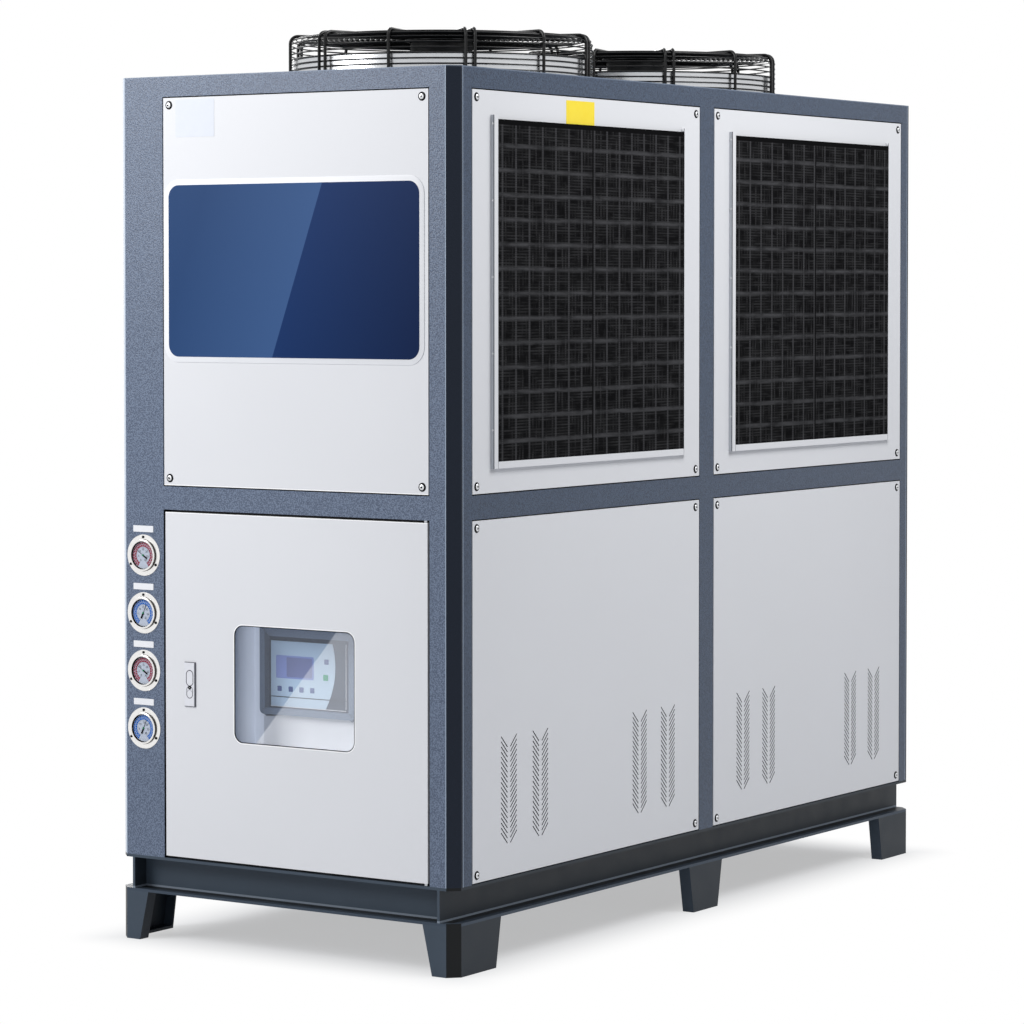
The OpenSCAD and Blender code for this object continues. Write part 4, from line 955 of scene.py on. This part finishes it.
key = rounded_plate(0.011, 0.011, 0.0015, 0.0006, 2)
soften(key, 0.0002, 1)
piece("controller_keys", copies(key, [on_face(x, z, 0.0006) for x, z in (
    (-0.069, 0.547), (-0.040, 0.547), (-0.012, 0.547), (0.016, 0.547), (0.053, 0.609))]),
      [key_ink], "cabinet")
run_key = rounded_plate(0.0125, 0.0125, 0.0015, 0.0008, 2)
soften(run_key, 0.0002, 1)
run_key.transform(on_face(0.051, 0.576, 0.0006))
piece("controller_run_key", run_key, [key_green], "cabinet")


# Door window. A clear tinted acrylic pane is glued behind the cut-out of the
# door. Its lower right half carries a painted reflection, one paler, hazier
# field with a slanted edge.
pane = finish("tinted_acrylic_pane")
pane_parts = axes(pane)
# The edge of the field runs from x = 0.140 at z = 0.684 to x = -0.070 at z = 0.438
pane_line = node(pane, "Math", pane_parts["Z"], 0.210 / 0.246,
                 -0.070 - 0.438 * 0.210 / 0.246, operation="MULTIPLY_ADD")
pane_side = node(pane, "Math", pane_parts["X"], pane_line, operation="SUBTRACT")
pane_reflection_field = node(pane, "MapRange", pane_side, 0.0, 0.001, 0.0, 1.0)
pane_tint = node(pane, "MixRGB", pane_reflection_field, colour("#EEF1F6"), colour("#FFFFFF"))
pane_clear = node(pane, "BsdfTransparent", {"Color": pane_tint})
pane_haze_and_reflection = node(pane, "BsdfDiffuse", {"Color": colour("#E4E8F0")})
pane_body = node(pane, "MixShader", node(pane, "MapRange", pane_reflection_field, 0.0, 1.0, 0.05, 0.21),
                 pane_clear, pane_haze_and_reflection)
pane_shine = node(pane, "BsdfGlossy", {"Color": (1, 1, 1, 1), "Roughness": 0.06})
pane_fresnel = node(pane, "LayerWeight", {"Blend": 0.05})
pane_seen = node(pane, "MixShader", pane_fresnel.outputs["Fresnel"], pane_body, pane_shine)
# Light passes the pane unchecked, so that the recess behind it is lit
pane_lit = node(pane, "BsdfTransparent", {"Color": (1, 1, 1, 1)})
node(pane, "OutputMaterial", node(pane, "MixShader", seen(pane), pane_lit, pane_seen))
dress(pane, "door_glass")

# A thin bead of black rubber lies on the pane all round the cut-out
rubber = mottled("black_rubber_bead", (0.003, 1), "#1C1F25", "#24272E", 0.6, shine=0.15)
seal = rounded_plate(0.3096, 0.2456, 0.0218, 0.0010)
flats = sorted(seal.faces, key=lambda face: abs(face.normal.z))[-2:]
bmesh.ops.inset_individual(seal, faces=flats, thickness=0.0017, depth=0.0)
flat_edges = [edge for face in flats for edge in face.edges]
bmesh.ops.delete(seal, geom=flats, context="FACES_ONLY")
bmesh.ops.bridge_loops(seal, edges=flat_edges)
seal.transform(facing(0, window_x, window_z, -0.0015))
piece("window_seal", seal, [rubber], "door")


# Latch and hinges. The flush latch is moulded in pale plastic, with a blackened
# lock barrel that takes a key, and the door turns on two steel pins.
latch_x = -0.239
latch_z = 0.553
latch_half_w = 0.0145
latch_half_h = 0.0470
pale = finish("pale_grey_moulded_plastic")
pale_wave = noise(pale, 0.01, 2)
pale_parts = axes(pale)
pale_way = axes(pale, "Normal")
pale_base = node(pale, "MixRGB", pale_wave, colour("#DADBE0"), colour("#E2E3E8"))
# Painted shade in the grooves and on the walls that don't face out
pale_shade = node(pale, "Math", where(pale, (pale_way["Y"], -0.6)),
                 where(pale, (pale_parts["Y"], -half_l - 0.0002)), operation="MAXIMUM")


def slot_line(middle, half, radius, width):
    """A line round a slot with round ends, in the plane of the latch"""
    rise = node(pale, "Math", pale_parts["Z"], middle, operation="SUBTRACT")
    rise = node(pale, "Math", rise, operation="ABSOLUTE")
    past = node(pale, "Math", node(pale, "Math", rise, half, operation="SUBTRACT"), 0.0,
                operation="MAXIMUM")
    side = node(pale, "Math", pale_parts["X"], latch_x, operation="SUBTRACT")
    reach = node(pale, "Math", node(pale, "Math", side, side, operation="MULTIPLY"),
                 node(pale, "Math", past, past, operation="MULTIPLY"), operation="ADD")
    reach = node(pale, "Math", node(pale, "Math", reach, 0.5, operation="POWER"), radius,
                 operation="SUBTRACT")
    reach = node(pale, "Math", reach, operation="ABSOLUTE")
    return where(pale, (width / 2, reach))


# Painted shade as dark lines round the paddle's pocket and the push button
pale_groove_shade = node(pale, "Math", slot_line(0.5661, 0.0075, 0.0090, 0.0015),
                  slot_line(0.5365, 0.0047, 0.0077, 0.0015), operation="MAXIMUM")
# Painted shade on the rim at the right, at the top and at the bottom
pale_rise = node(pale, "Math", pale_parts["Z"], latch_z, operation="SUBTRACT")
pale_rise = node(pale, "Math", pale_rise, operation="ABSOLUTE")
pale_rim_shade = node(pale, "Math",
                where(pale, (pale_parts["X"], latch_x + latch_half_w - 0.0024)),
                where(pale, (pale_rise, latch_half_h - 0.0013)), operation="MAXIMUM")
for place, tone in ((pale_shade, "#4C4E54"), (pale_groove_shade, "#50525A"), (pale_rim_shade, "#5C5E65")):
    pale_base = node(pale, "MixRGB", place, pale_base, colour(tone))
node(pale, "OutputMaterial", node(pale, "BsdfPrincipled", {
    "Base Color": pale_base, "Roughness": 0.36, "Specular IOR Level": 0.2}))
dress(pale, "latch_plate", "latch_paddle")

barrel = bmesh.new()
lathe(barrel, [(0, 0.0004), (0.0039, 0.0004), (0.0042, 0.0), (0.0042, -0.0008)], 24)
block(barrel, Matrix.Translation((0, 0, 0.0004)), (0.0011, 0.0016, 0.0006), 1)
barrel.transform(facing(0, latch_x, latch_z - 0.0067, 0.0032))
piece("lock_barrel", barrel, [black_finish_and_shade, bright_zinc], "door")

turned = mottled("turned_bright_steel", (0.002, 2, 0.5, (1, 1, 8)), "#A8ABB0", "#C2C5CA",
                 0.3, metallic=1.0)
dress(turned, "hinge_pins")


# Water ports. Two turned brass sockets with round flanges stand in the rear
# panel, ready for 60.3 mm pipes.
brass = mottled("turned_brass", (0.004, 2, 0.5, (1, 8, 1)), "#B99A58", "#CDB06B",
                (0.24, 0.38), metallic=1.0)
dress(brass, "water_ports")
